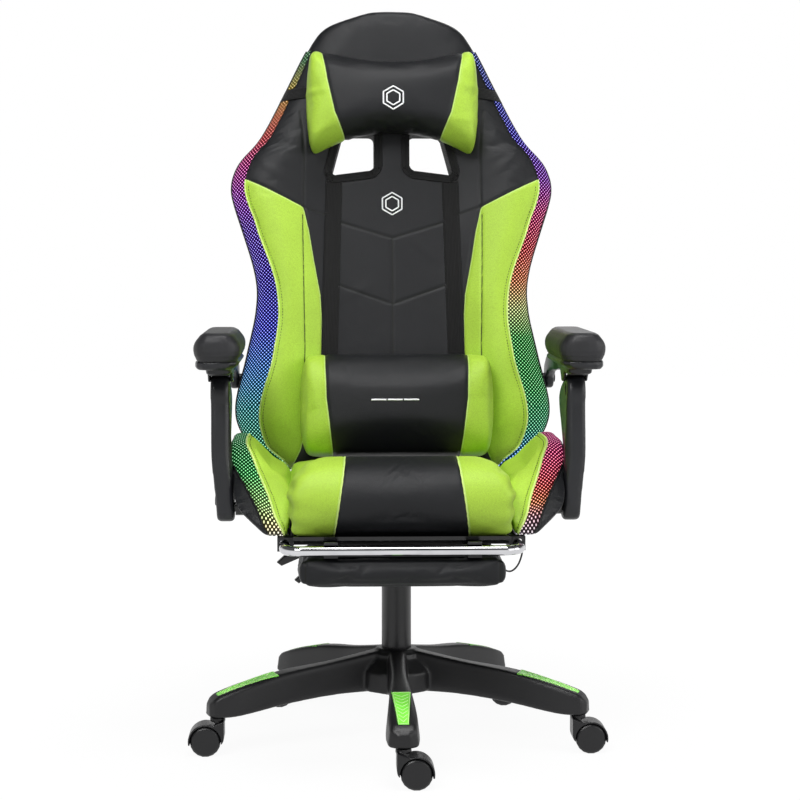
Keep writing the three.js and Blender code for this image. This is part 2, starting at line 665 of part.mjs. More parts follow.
function backBrackets(grow) {
  const { y, z } = recline_axis;
  const [x0, x1] = back_bracket_x;
  const arm = outline([y - 26, z], [y - 24, z - 24, y, z - 26], [y + 24, z - 24, y + 26, z],
    [y + 36, z + 84], [y + 14, z + 88], [y - 26, z]);
  const bore = solidOf(crossPin(8 + run_gap, -260, 260, y, z, 20));
  return union([-1, 1].map((side) => {
    const ends = side > 0 ? [x0 - grow, x1 + grow] : [-x1 - grow, -x0 + grow];
    return solidOf(sidePrism(arm, ...ends));
  })).subtract(bore);
}

// harness opening: upright inner side, slanting outer side
const hole_inner = 31;
const hole_outer_top = 90;
const hole_outer_foot = 108;
const hole_foot = 556;
const hole_top = 630;
const through = [-240, 180];        // a cutter that passes right through the back

function holeOutline(side, grow) {
  const a = side * (hole_inner - grow);
  const b = side * (hole_outer_top + grow);
  const c = side * (hole_outer_foot + grow);
  const low = hole_foot - grow;
  const high = hole_top + grow;
  const r = side * 8;
  return outline([a + r, high], [b - r, high], [b, high, b + r * 0.5, high - 8], [c, low + 14],
    [c + r * 0.2, low, c - r, low], [a + r, low], [a, low, a, low + 8], [a, high - 8], [a, high, a + r, high]);
}

const trim_width = 13;

// how far the light band laps onto the front, up along the back
const band_foot = 58;
const band_top = 778;
const bandWidth = curveThrough([[band_foot, 24], [98, 38], [150, 47], [275, 46], [347, 37], [454, 24], [600, 14],
  [band_top, 8]]);

function lightBandOutline(side, grow) {
  const levels = Array.from({ length: 15 }, (_, i) => mix(band_foot, band_top, i / 14));
  const inner = levels.map((s) => [side * (backHalf(s) - bandWidth(s) - grow), s]);
  inner[0][1] -= grow;
  inner[14][1] += grow;
  return outline([side * 320, band_foot - grow], ...inner, [side * 320, band_top + grow]);
}

const strap_under = 0.4;            // strap above the cover
const strap_over = 2.2;             // outer face of a strap
const pillow_under = 2.7;           // back face of a pillow above the cover

function backShell(low, high) {
  return backSolid(high).subtract(backSolid(low));
}

function makeBack() {
  const hoop = hoopSolid(0).add(backBrackets(0));
  add('back_frame', hoop, 'black_steel');

  const whole = backSolid(0);
  const holes = [-1, 1].map((side) => throughBack(holeOutline(side, trim_width + seat_gap), ...through));
  const skin = whole.subtract(backSolid(-7));
  const bandRoom = [-1, 1].map((side) => throughBack(lightBandOutline(side, seat_gap), -160, seat_gap));
  const hoopRoom = hoopSolid(seat_gap);
  const pad = whole.subtract(union(holes)).subtract(hoopRoom).subtract(backBrackets(seat_gap))
    .subtract(union(bandRoom).subtract(backSolid(-7 - seat_gap)));
  add('back_cushion', pad, 'black_leather');
  for (const [side, word] of [[1, 'left'], [-1, 'right']]) {
    const band = skin.intersect(throughBack(lightBandOutline(side, 0), -160, 0)).subtract(hoopRoom);
    add(`back_light_band_${word}`, band, 'light_mesh');
    const ring = throughBack(holeOutline(side, trim_width), ...through)
      .subtract(throughBack(holeOutline(side, 0), ...through));
    add(`harness_trim_${word}`, ring.intersect(whole), 'webbing');
  }
}

function makeStraps() {
  const shell = backShell(strap_under, strap_over);
  const band = throughBack(outline([-260, 688], [260, 688], [260, 714], [-260, 714]), ...through);
  add('pillow_strap', shell.intersect(band), 'webbing');
}

// each belt runs from the harness opening down the front, under the foot and up behind, as one loop
const belt_width = 30;
const belt_inner_top = 88;          // the belts spread towards the foot
const belt_inner_foot = 104;

function makeBelts() {
  for (const [side, word] of [[1, 'left'], [-1, 'right']]) {
    const round = (grow) => backSolid(grow).subtract(throughBack(holeOutline(side, -grow), ...through));
    const [foot, top] = [belt_inner_foot, belt_inner_top].map((x) => [side * x, side * (x + belt_width)]);
    const lane = throughBack(outline([foot[0], -60], [foot[1], -60], [foot[1], back_foot], [top[1], hole_foot + 6],
      [top[0], hole_foot + 6], [foot[0], back_foot]), ...through);
    add(`lumbar_belt_${word}`, round(strap_over).subtract(round(strap_under)).intersect(lane), 'webbing');
  }
}

// a stuffed pillow across the back: its half height goes from middle to end, its depth swells by front
function pillowSolid({ half, centre, middle, end, front, thin }) {
  const pillow = loft((angle, height, rim) => {
    const across = mix(-1, 1, height);
    const close = (1 - 0.72 * across ** 12) ** 0.5;
    const tall = mix(middle, end, across * across) * close;
    const s = centre + rim * tall * signedPower(Math.sin(angle), 0.7);
    const deep = front * mix(1, thin, across * across) * close;
    const t = -back_front + 6 - rim * signedPower(Math.cos(angle), 0.75) * deep;
    return onBack(across * half, t, s);
  }, 16, 12);
  return solidOf(pillow);
}

function makePillows() {
  const cover = backSolid(pillow_under);
  const behind = throughBack(outline([-300, 0], [300, 0], [300, 900], [-300, 900]), -12, through[1]);
  const head = pillowSolid({ half: 149, centre: 685, middle: 66, end: 90, front: 96, thin: 0.74 });
  add('head_pillow', head.subtract(cover).subtract(behind), 'black_leather');
  const lumbar = pillowSolid({ half: 168, centre: 143, middle: 90, end: 88, front: 112, thin: 0.9 });
  add('lumbar_pillow', lumbar.subtract(cover).subtract(behind), 'black_leather');
}

// ---------------------------------------------------------------- armrests
function armPost() {
  const { y, z } = arm_pivot;
  const top = [y + Math.sin(back_angle) * arm_link.s, z + Math.cos(back_angle) * arm_link.s];
  const [cy, cz] = top;
  const side = outline([y - 24, z], [y - 24, z - 24, y, z - 24], [y + 26, z - 22, y + 28, z + 4],
    [y + 34, z + 60, cy + 70, cz - 62], [cy + 104, cz - 34, cy + 98, cz - 16],
    [cy + 84, cz + 4, cy + 24, cz + 18], [cy + 4, cz + 34, cy - 20, cz + 20],
    [cy - 34, cz + 8, cy - 32, cz - 20], [y - 20, z + 80, y - 24, z]);
  const sweep = (h) => post_sweep * (smooth(z + 8, z + 84, h) - 1);
  const blade = sidePrism(side, arm_inner, arm_inner + post_thickness, { bevel: 4, rounds: 1, curve: 4 });
  const solid = solidOf(mapped(blade, (a, b, c) => [a + sweep(c), b, c]));
  const bore = (at, [b, c]) => solidOf(crossPin(arm_pin + run_gap, at - 8, at + post_thickness - 6, b, c));
  return solid.subtract(bore(arm_inner - post_sweep, [y, z])).subtract(bore(arm_inner, top));
}

// the tray under the cushion, a collar over the top of the post with two cheeks, and an arm to the back
function padFrame() {
  const cy = arm_pivot.y + Math.sin(back_angle) * arm_link.s;
  const cz = arm_pivot.z + Math.cos(back_angle) * arm_link.s;
  const [, by, bz] = onBack(0, arm_link.t, arm_link.s);
  const top = pad_top - pad_thickness - seat_gap;
  const foot = top - tray_thickness;
  const plan = roundedRect(pad_width - 10, pad_length - 14, 28);
  const middle = pad_front + pad_length / 2;
  const tray = shifted(solidOf(prism(plan, foot, top, { bevel: 5, rounds: 1, curve: 3 })), pad_centre, middle, 0);
  const [inner, outer] = [arm_inner - 9, arm_inner + post_thickness + 5];
  const collar = solidOf(prism(roundedRect(outer - inner, 150, 12), cz + 29, foot + 4,
    { bevel: 3, rounds: 1, curve: 2 }));
  const lip = box(inner + 4, outer - 4, cy - 47, cy - 42, cz + 22, cz + 32);
  const ear = outline([cy - 15, cz], [cy - 15, cz - 15, cy, cz - 15], [cy + 15, cz - 15, cy + 15, cz],
    [cy + 30, cz + 32], [cy - 30, cz + 32]);
  const cheeks = [inner, outer - 4.5].map((x) => solidOf(sidePrism(ear, x, x + 4.5, { bevel: 1, rounds: 1 })));
  const pin = solidOf(crossPin(arm_pin, inner + 1, arm_inner + post_thickness - 7, cy, cz));
  const hook = outline([cy + 40, foot + 4], [cy + 44, foot - 14, cy + 90, foot - 14],
    [by - 40, foot - 16, by - 20, bz], [by - 18, bz - 19, by, bz - 19], [by + 19, bz - 18, by + 19, bz],
    [by + 8, foot + 6, by - 70, foot + 8], [cy + 40, foot + 10]);
  const rear = solidOf(sidePrism(hook, arm_inner - 2, arm_inner + 14, { bevel: 3, rounds: 1, curve: 3 }));
  const bore = solidOf(crossPin(arm_pin + run_gap, arm_inner - 20, arm_inner + 30, by, bz));
  return union([tray, shifted(collar, (inner + outer) / 2, cy - 4, 0), solidOf(lip), ...cheeks, pin, rear])
    .subtract(bore);
}

function makeArms() {
  mirrored('arm_post', armPost(), 'moulded_plastic');
  mirrored('arm_pad_frame', padFrame(), 'moulded_plastic');
  const middle = pad_front + pad_length / 2;
  const pad = prism(roundedRect(pad_width, pad_length, 30), pad_top - pad_thickness, pad_top,
    { bevel: 13, rounds: 2, curve: 4 });
  mirrored('arm_pad', solidOf(pad.translate(pad_centre, middle, 0)), 'black_leather');
}

// ---------------------------------------------------------------- footrest
function makeFootrest() {
  const guide = slide_tube + run_gap;
  const [front, rear] = [slide_front + 54, slide_rear - 2];
  const blocks = [front, (front + rear) / 2, rear - 26].map((y) => solidOf(box(frame_half + seat_gap,
    slide_x + slide_tube + 3.5, y, y + 26, slide_z - 11, slide_z + 11)));
  const strip = solidOf(box(frame_half + seat_gap, frame_half + 3, front, rear, slide_z - 11, slide_z + 11));
  const bore = solidOf(post(guide, -400, 400, 14).rotateX(Math.PI / 2).translate(slide_x, 0, slide_z));
  mirrored('footrest_guide', union([...blocks, strip]).subtract(bore), 'black_steel');

  const bend = 26;
  const turn = [0, 1, 2, 3, 4].map((i) => [slide_x - bend * (1 - Math.cos(i * Math.PI / 8)),
    slide_front + bend * (1 - Math.sin(i * Math.PI / 8)), slide_z]);
  const route = [[slide_x, slide_rear, slide_z], ...turn];
  const other = [...route].reverse().map(([x, y, z]) => [-x, y, z]);
  const path = new StationPath([...route, ...other]);
  add('footrest_frame', solidOf(tube(path, slide_tube, path.steps, 14)), 'chrome');

  const back = slide_front - 4;
  const top = slide_z - 14;
  const board = prism(roundedRect(2 * footboard_half_width, footboard_thickness, 16), 0, footboard_depth,
    { bevel: 6, rounds: 2, curve: 4 });
  const lying = mapped(board, (x, y, z) => [x, back + z, top - footboard_thickness / 2 - y]);
  add('footrest_pad', solidOf(lying), 'black_leather');
  const knuckles = [-112, 112].map((x) =>
    solidOf(crossPin(slide_tube + 4, x - 11, x + 11, slide_front, slide_z, 16)));
  const leaf = solidOf(box(-124, 124, slide_front + 12, slide_front + 60, top + seat_gap, top + 3));
  const tongues = [-112, 112].map((x) =>
    solidOf(box(x - 11, x + 11, slide_front - 2, slide_front + 14, top + seat_gap, top + 3)));
  const hole = solidOf(crossPin(slide_tube + run_gap, -140, 140, slide_front, slide_z, 14));
  const mouth = solidOf(box(-140, 140, slide_front - 20, slide_front - 4, slide_z - 20, slide_z + 20));
  add('footrest_hinge', union([...knuckles, leaf, ...tongues]).subtract(hole).subtract(mouth), 'black_steel');
}

// ---------------------------------------------------------------- seat lights
const lead_radius = 1.5;
const light_box = { x: frame_half - 37, y: -20, z: 346, width: 34, length: 76, height: 24 };

function makeLights() {
  const b = light_box;
  const plan = roundedRect(b.width, b.length, 5);
  const shell = prism(plan, b.z, b.z + b.height, { bevel: 2, rounds: 1, curve: 2 });
  shell.translate(b.x + b.width / 2, b.y + b.length / 2, 0);
  add('light_control_box', solidOf(shell), 'moulded_plastic');

  const ends = [cushion_half_width + 22, b.x + b.width / 2];
  const route = [[0, -196, wing_foot - seat_gap], [0, -196, 372], [0.02, -193, 352], [0.12, -182, 331],
    [0.28, -165, 317], [0.44, -140, 311], [0.62, -112, 314], [0.77, -84, 325], [0.89, -58, 340], [0.96, -38, 353],
    [1, -28, 357], [1, b.y - seat_gap, 357]].map(([share, y, z]) => new THREE.Vector3(mix(...ends, share), y, z));
  const path = new THREE.CatmullRomCurve3(route, false, 'centripetal');
  add('light_lead', solidOf(tube(path, lead_radius, 28, 8)), 'webbing');
}

makeBase();
makeCasters();
makeColumn();
makeMechanism();
makeSeatFrame();
makeCushion();
makeWings();
makeRecliners();
makeReclineLever();
makeBack();
makeStraps();
makeBelts();
makePillows();
makeArms();
makeFootrest();
makeLights();

export default chair;
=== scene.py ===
import json
import math

import bmesh
import bpy
import numpy as np
from mathutils import Matrix, Vector
from mathutils.bvhtree import BVHTree


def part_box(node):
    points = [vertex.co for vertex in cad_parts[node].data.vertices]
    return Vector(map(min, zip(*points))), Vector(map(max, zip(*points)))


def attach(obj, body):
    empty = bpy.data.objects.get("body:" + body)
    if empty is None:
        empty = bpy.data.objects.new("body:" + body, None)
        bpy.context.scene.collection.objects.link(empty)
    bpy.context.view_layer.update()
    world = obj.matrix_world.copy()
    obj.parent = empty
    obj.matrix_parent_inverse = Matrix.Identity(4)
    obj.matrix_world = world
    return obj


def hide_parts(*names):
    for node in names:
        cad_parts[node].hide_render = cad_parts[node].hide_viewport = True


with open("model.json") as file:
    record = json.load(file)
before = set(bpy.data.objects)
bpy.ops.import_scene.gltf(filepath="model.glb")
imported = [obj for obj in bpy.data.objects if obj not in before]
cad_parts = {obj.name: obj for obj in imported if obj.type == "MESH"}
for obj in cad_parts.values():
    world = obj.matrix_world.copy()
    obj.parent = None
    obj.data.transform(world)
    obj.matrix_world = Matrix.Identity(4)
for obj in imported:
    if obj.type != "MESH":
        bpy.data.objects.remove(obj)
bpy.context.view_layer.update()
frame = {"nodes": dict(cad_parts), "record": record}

MM = 0.001
# the sides of the chair along x, as the sitter says
SIDES = ((1, "left"), (-1, "right"))
LEG_NUMBERS = range(1, 6)
# how far apart in metres the corners of the frame's loose triangles may lie
WELD = 4e-6


def into_scene(name, data):
    """a new object in the scene"""
    obj = bpy.data.objects.new(name, data)
    bpy.context.scene.collection.objects.link(obj)
    return obj


# ---------------------------------------------------------------- camera, studio
def make_camera():
    data = bpy.data.cameras.new("front camera")
    data.lens = 90.86
    data.sensor_width = 36
    data.shift_x = 0.0046
    data.shift_y = -0.0019
    data.clip_end = 50
    camera = into_scene("front camera", data)
    camera.location = (-0.12, -3.4, 0.849)
    camera.rotation_euler = (math.radians(90 - 4.46), 0, math.radians(-2.02))
    bpy.context.scene.camera = camera


def linear(code):
    """sRGB hex code to the linear colour that a node takes"""
    parts = [int(code[i:i + 2], 16) / 255 for i in (1, 3, 5)]
    return [c / 12.92 if c <= 0.04045 else ((c + 0.055) / 1.055) ** 2.4 for c in parts] + [1]


def add(tree, kind, inputs=None, **settings):
    """adds a node; an input is a value, or another node's output to link"""
    made = tree.nodes.new("ShaderNode" + kind)
    for name, value in settings.items():
        setattr(made, name, value)
    for name, value in (inputs or {}).items():
        socket = made.inputs[name]
        if isinstance(value, bpy.types.NodeSocket):
            tree.links.new(value, socket)
        else:
            socket.default_value = value
    return made


def new_finish(name, **sockets):
    """a material with its Principled shader; sockets set what is the same all over"""
    finish = bpy.data.materials.new(name)
    finish.use_nodes = True
    tree = finish.node_tree
    shader = tree.nodes["Principled BSDF"]
    for socket, value in sockets.items():
        shader.inputs[socket.replace("_", " ")].default_value = value
    return finish, tree, shader


def seen_by_eye(tree):
    """1 for rays from the camera, from a mirror or through glass"""
    path = add(tree, "LightPath")
    either = add(tree, "Math", {0: path.outputs["Is Camera Ray"], 1: path.outputs["Is Glossy Ray"]},
                 operation="MAXIMUM")
    return add(tree, "Math", {0: either.outputs[0], 1: path.outputs["Is Transmission Ray"]},
               operation="MAXIMUM").outputs[0]


def make_studio():
    world = bpy.data.worlds.new("white studio")
    bpy.context.scene.world = world
    world.use_nodes = True
    tree = world.node_tree
    tree.nodes.clear()
    # white walls under a dim ceiling
    way = add(tree, "SeparateXYZ", {0: add(tree, "TexCoord").outputs["Generated"]}).outputs["Z"]
    rise = add(tree, "MapRange", {"Value": way, "From Min": 0.14, "From Max": 0.42, "To Min": 1.0,
                                  "To Max": 0.10})
    soft = add(tree, "Background", {"Color": linear("#F4F6FA"), "Strength": 0.12})
    white = add(tree, "Background", {"Color": (1, 1, 1, 1), "Strength": rise.outputs["Result"]})
    both = add(tree, "MixShader", {"Fac": seen_by_eye(tree), 1: soft.outputs[0], 2: white.outputs[0]})
    add(tree, "OutputWorld", {"Surface": both.outputs[0]})

    bm = bmesh.new()
    bmesh.ops.create_grid(bm, x_segments=1, y_segments=1, size=9)
    mesh = bpy.data.meshes.new("floor")
    bm.to_mesh(mesh)
    bm.free()
    floor = into_scene("floor", mesh)
    paper, tree, shader = new_finish("white paper sweep", Roughness=0.9, Specular_IOR_Level=0.0)
    shader.inputs["Base Color"].default_value = (0.5, 0.5, 0.5, 1)
    glow = add(tree, "Emission", {"Color": (1, 1, 1, 1), "Strength": 1.05})
    # the paper is bright all over and keeps a faint shadow near the chair
    away = add(tree, "VectorMath", {0: add(tree, "TexCoord").outputs["Object"]}, operation="LENGTH")
    open_floor = add(tree, "MapRange", {"Value": away.outputs["Value"], "From Min": 0.5, "From Max": 1.6,
                                        "To Min": 0.90, "To Max": 1.0}).outputs["Result"]
    share = add(tree, "Math", {0: seen_by_eye(tree), 1: open_floor}, operation="MULTIPLY")
    both = add(tree, "MixShader", {"Fac": share.outputs[0], 1: shader.outputs[0], 2: glow.outputs[0]})
    tree.links.new(both.outputs[0], tree.nodes["Material Output"].inputs["Surface"])
    mesh.materials.append(paper)

    # name, place in metres, watts, width in metres, and the point it is turned to
    softboxes = [
        ("key", (-1.4, -3.0, 3.3), 104, 1.4, (0, 0, 0.6)),
        ("fill", (2.4, -2.8, 1.8), 22, 2.0, (0, 0, 0.5)),
        ("side", (3.0, -0.9, 1.5), 24, 1.4, (0, 0, 0.5)),
        ("top", (0.3, -1.2, 4.4), 105, 1.6, (0, 0, 0.6)),
        ("rear", (0.6, 3.0, 2.4), 24, 2.0, (0, 0, 0.8)),
    ]
    for name, place, watts, size, target in softboxes:
        data = bpy.data.lights.new(name + " softbox", "AREA")
        data.energy = watts
        data.size = size
        lamp = into_scene(name + " softbox", data)
        lamp.location = place
        lamp.rotation_euler = (Vector(target) - Vector(place)).to_track_quat("-Z", "Y").to_euler()


make_camera()
make_studio()
bpy.context.scene.view_settings.view_transform = "Standard"


# ---------------------------------------------------------------- finishes
def bump_of(tree, shader, layers):
    """stacks (height, depth in mm) pairs into the shader's normal"""
    normal = None
    for height, depth in layers:
        inputs = {"Height": height, "Distance": depth * MM, "Strength": 1.0}
        if normal is not None:
            inputs["Normal"] = normal
        normal = add(tree, "Bump", inputs).outputs["Normal"]
    tree.links.new(normal, shader.inputs["Normal"])


def between(tree, value, low, high):
    """0 below low, 1 above high"""
    return add(tree, "MapRange", {"Value": value, "From Min": low, "From Max": high}).outputs["Result"]


def vary(tree, shader, socket, value, low, high, start=0.0):
    """takes a socket of the shader from low to high while value goes from start to 1"""
    spread = add(tree, "MapRange", {"Value": value, "From Min": start, "To Min": low, "To Max": high})
    tree.links.new(spread.outputs["Result"], shader.inputs[socket])


def maths(tree, operation, a, b=0.0, c=0.0):
    return add(tree, "Math", {0: a, 1: b, 2: c}, operation=operation).outputs[0]


def mixed(tree, share, a, b):
    """colour a where share is 0, colour b where it is 1"""
    node = add(tree, "Mix", {"Factor": share}, data_type="RGBA")
    for index, colour in ((6, a), (7, b)):
        if isinstance(colour, bpy.types.NodeSocket):
            tree.links.new(colour, node.inputs[index])
        else:
            node.inputs[index].default_value = linear(colour)
    return node.outputs[2]


def noise(tree, place, scale, detail):
    return add(tree, "TexNoise", {"Vector": place, "Scale": scale, "Detail": detail}).outputs["Fac"]


def grain(tree, place, pitch):
    """raised cells of embossed leather, pitch apart in mm, with finer pores between them"""
    cells = add(tree, "TexVoronoi", {"Vector": place, "Scale": 1 / (pitch * MM), "Randomness": 1.0},
                feature="DISTANCE_TO_EDGE")
    raised = between(tree, cells.outputs["Distance"], 0.0, 0.25)
    return raised, noise(tree, place, 2.4 / (pitch * MM), 2.0)


def leather(name, colours, roughness=0.44, sewn=True):
    """polyurethane leather: cells pressed 1.8 mm apart, a soft shine, and faint drapes.
    colours is one hex code, or two that meet where the attribute panel is zero; the green then has a painted
    highlight, a lighter band along its edge beside each seam.
    A sewn piece has an attribute seam, its distance in mm from the nearest seam"""
    finish, tree, shader = new_finish(name, Roughness=roughness, IOR=1.45, Specular_IOR_Level=0.32)
    place = add(tree, "TexCoord").outputs["Object"]
    raised, pores = grain(tree, place, 1.8)
    drape = noise(tree, place, 14.0, 3.0)
    seam = add(tree, "Attribute", attribute_name="seam").outputs["Fac"]
    # the tone is lighter where the drapes stand highest
    drape_tone = between(tree, drape, 0.3, 0.7)
    tone = mixed(tree, drape_tone, colours[0], lifted(colours[0], 1.14))
    line = between(tree, maths(tree, "ABSOLUTE", seam), 1.5, 0.6)
    line = maths(tree, "MULTIPLY", line, 0.9 if sewn else 0.0)
    if len(colours) > 1:
        panel = add(tree, "Attribute", attribute_name="panel").outputs["Fac"]
        green = mixed(tree, drape_tone, colours[1], lifted(colours[1], 1.05))
        tone = mixed(tree, between(tree, panel, -0.3, 0.2), tone, green)
        # painted highlight: a pale green band 0.2 to 2.6 mm inside the green's edge, beside each seam, where
        # the rolled edge catches the light; the dark seam line is left out there
        edge = maths(tree, "MULTIPLY", between(tree, panel, 0.2, 0.6), between(tree, panel, 2.6, 2.0))
        painted_edge_highlight = maths(tree, "MULTIPLY", edge, between(tree, maths(tree, "ABSOLUTE", seam), 4.0, 2.8))
        line = maths(tree, "MULTIPLY", line, maths(tree, "SUBTRACT", 1.0, painted_edge_highlight))
        tone = mixed(tree, maths(tree, "MULTIPLY", painted_edge_highlight, 0.8), tone, "#C9E985")
    pit = mixed(tree, maths(tree, "MULTIPLY", maths(tree, "SUBTRACT", 1.0, raised), 0.25), tone, "#0A0B08")
    tree.links.new(mixed(tree, line, pit, "#0C0E08"), shader.inputs["Base Color"])
    vary(tree, shader, "Roughness", pores, roughness - 0.06, roughness + 0.10)
    bump_of(tree, shader, [(drape, 1.2), (raised, 0.10), (pores, 0.05)])
    return finish


def lifted(code, gain):
    """a hex code made lighter by a factor"""
    parts = [min(255, round(int(code[i:i + 2], 16) * gain)) for i in (1, 3, 5)]
    return "#%02X%02X%02X" % tuple(parts)


def weave_of(tree):
    """the place in a cloth: X across it, Y along it, both in mm"""
    place = add(tree, "Attribute", attribute_name="weave").outputs["Vector"]
    return add(tree, "SeparateXYZ", {0: place}).outputs


LIGHT_POWER = 1.9
# mm along one diagonal of the net's square grid, which has a hole every 4.6 mm
NET_DIAGONAL = 6.5


def lit_net(name, low, high, bands):
    """black spacer net with round holes over a strip of coloured lights: each hole glows, pale in its middle,
    and the yarn between the holes stays black. The light fades towards the outer edge.
    bands are (height in mm, hex) along Z"""
    finish, tree, shader = new_finish(name, Roughness=0.85, Specular_IOR_Level=0.04)
    height = add(tree, "SeparateXYZ", {0: add(tree, "TexCoord").outputs["Object"]}).outputs["Z"]
    along = add(tree, "MapRange", {"Value": height, "From Min": low * MM, "From Max": high * MM})
    ramp = add(tree, "ValToRGB", {"Fac": along.outputs["Result"]})
    stops = ramp.color_ramp.elements
    while len(stops) < len(bands):
        stops.new(0.5)
    for stop, (z, code) in zip(stops, bands):
        stop.position = (z - low) / (high - low)
        stop.color = linear(code)
    weave = weave_of(tree)
    turn = 2 * math.pi / NET_DIAGONAL
    plus = maths(tree, "MULTIPLY", maths(tree, "ADD", weave["X"], weave["Y"]), turn)
    less = maths(tree, "MULTIPLY", maths(tree, "SUBTRACT", weave["X"], weave["Y"]), turn)
    wave = maths(tree, "ADD", maths(tree, "COSINE", plus), maths(tree, "COSINE", less))
    hole = between(tree, wave, 0.5, 1.1)
    colour = ramp.outputs["Color"]
    yarn = mixed(tree, 0.97, colour, "#000000")
    pale = mixed(tree, 0.5, colour, "#FFFFFF")
    glow = mixed(tree, between(tree, wave, 1.2, 1.9), mixed(tree, hole, yarn, colour), pale)
    tree.links.new(glow, shader.inputs["Emission Color"])
    vary(tree, shader, "Emission Strength", weave["Z"], LIGHT_POWER, LIGHT_POWER * 0.45, start=0.6)
    tree.links.new(mixed(tree, hole, "#030303", "#0A0A0C"), shader.inputs["Base Color"])
    bump_of(tree, shader, [(maths(tree, "SUBTRACT", 1.0, hole), 0.6)])
    return finish


def webbing(name, colour, rib):
    """woven polypropylene: ribs along the strap, rib apart in mm, crossed by the weft"""
    finish, tree, shader = new_finish(name, Roughness=0.68, Specular_IOR_Level=0.25, Sheen_Weight=0.08,
                                      Sheen_Roughness=0.4)
    weave = weave_of(tree)
    ribs = maths(tree, "SINE", maths(tree, "MULTIPLY", weave["X"], 2 * math.pi / rib))
    weft = maths(tree, "SINE", maths(tree, "MULTIPLY", weave["Y"], 2 * math.pi / 1.9))
    ribs = between(tree, ribs, -1.0, 1.0)
    weft = between(tree, weft, -1.0, 1.0)
    yarn = maths(tree, "MULTIPLY_ADD", weft, 0.3, maths(tree, "MULTIPLY", ribs, 0.7))
    tree.links.new(mixed(tree, yarn, "#070707", colour), shader.inputs["Base Color"])
    bump_of(tree, shader, [(ribs, 0.5), (weft, 0.15)])
    return finish


def moulded_plastic(name, colour, roughness=0.42, texture=0.06, pitch=0.9):
    """injection-moulded nylon or ABS with a fine spark-eroded texture, rubbed a little on its high spots"""
    finish, tree, shader = new_finish(name, Roughness=roughness, IOR=1.5, Specular_IOR_Level=0.4)
    place = add(tree, "TexCoord").outputs["Object"]
    fine = noise(tree, place, 1 / (pitch * MM), 2.0)
    broad = noise(tree, place, 16.0, 3.0)
    tone = mixed(tree, between(tree, broad, 0.35, 0.7), colour, lifted(colour, 1.16))
    tree.links.new(tone, shader.inputs["Base Color"])
    vary(tree, shader, "Roughness", broad, roughness - 0.07, roughness + 0.08)
    bump_of(tree, shader, [(fine, texture)])
    return finish


def metal(name, colour, roughness, metallic=1.0, scratch=0.02):
    """polished, ground or powder-coated steel, with fine streaks along the piece"""
    finish, tree, shader = new_finish(name, Roughness=roughness, Metallic=metallic)
    place = add(tree, "TexCoord").outputs["Object"]
    grit = noise(tree, place, 700.0, 2.0)
    haze = noise(tree, place, 22.0, 4.0)
    tree.links.new(mixed(tree, between(tree, haze, 0.4, 0.8), colour, lifted(colour, 1.08)),
                   shader.inputs["Base Color"])
    vary(tree, shader, "Roughness", haze, roughness * 0.8, roughness * 1.35)
    bump_of(tree, shader, [(grit, scratch)])
    return finish


BLACK = "#141518"
GREEN = "#AED346"
black_leather = leather("black polyurethane leather", (BLACK,))
two_tone_leather = leather("black and green polyurethane leather", (BLACK, GREEN))
green_piping = leather("light green leather piping", ("#CDEE84",), 0.42, sewn=False)
black_piping = leather("black leather piping", ("#0D0D0E",), 0.42, sewn=False)
strap_web = webbing("black polypropylene webbing", "#131314", 2.6)
nylon = moulded_plastic("black glass-filled nylon", "#111113")
soft_black = moulded_plastic("black polyurethane skin", "#1C1C1E", 0.50, 0.10, 1.2)
arm_plastic = moulded_plastic("black polypropylene", "#1B1C1F", 0.34)
wheel_plastic = moulded_plastic("black caster nylon", "#111113", 0.34)
green_plastic = moulded_plastic("green ABS", "#7CDC4C", 0.22, 0.01)
pale_green_plastic = moulded_plastic("pale green ABS", "#B8F092", 0.22, 0.01)
coated_steel = metal("black powder-coated steel", "#121214", 0.35, 0.0, 0.05)
lacquered_steel = metal("black lacquered steel", "#09090A", 0.14, 0.0)
chrome = metal("chromed steel tube", "#C9C9CC", 0.05)
ground_steel = metal("ground steel rod", "#B9BBBE", 0.24)
thread = moulded_plastic("polyester thread", "#1F2A10", 0.6, 0.02)
white_thread = moulded_plastic("white embroidery thread", "#F1F2F4", 0.55, 0.25, 0.8)
cable_jacket = moulded_plastic("black cable jacket", "#1B1B1D", 0.45)


# ---------------------------------------------------------------- mesh helpers
def coords(obj, what="co"):
    flat = np.empty(len(obj.data.vertices) * 3)
    obj.data.vertices.foreach_get(what, flat)
    return flat.reshape(-1, 3)


def set_coords(obj, points):
    obj.data.vertices.foreach_set("co", np.asarray(points, float).ravel())
    obj.data.update()


def normals(obj):
    return coords(obj, "normal")


def object_of(name, bm, finish=None):
    """a new, smoothly shaded object from a bmesh, which is freed"""
    mesh = bpy.data.meshes.new(name)
    bm.to_mesh(mesh)
    bm.free()
    if finish:
        mesh.materials.append(finish)
    mesh.shade_smooth()
    return into_scene(name, mesh)


def settle(obj):
    """bakes the modifiers of a piece into its mesh"""
    graph = bpy.context.evaluated_depsgraph_get()
    graph.update()
    baked = bpy.data.meshes.new_from_object(obj.evaluated_get(graph), preserve_all_data_layers=True,
                                            depsgraph=graph)
    old = obj.data
    obj.modifiers.clear()
    obj.data = baked
    bpy.data.meshes.remove(old)
    return obj


def copy_of(*nodes):
    """one merged bmesh of some CAD nodes"""
    bm = bmesh.new()
    for node in nodes:
        bm.from_mesh(frame["nodes"][node].data)
    bmesh.ops.remove_doubles(bm, verts=bm.verts[:], dist=WELD)
    return bm


def turn_out(bm):
    """has all faces look outwards"""
    bmesh.ops.recalc_face_normals(bm, faces=bm.faces[:])


def remesh(obj, voxel):
    grid = obj.modifiers.new("remesh", "REMESH")
    grid.mode = "VOXEL"
    grid.voxel_size = voxel * MM
    return settle(obj)


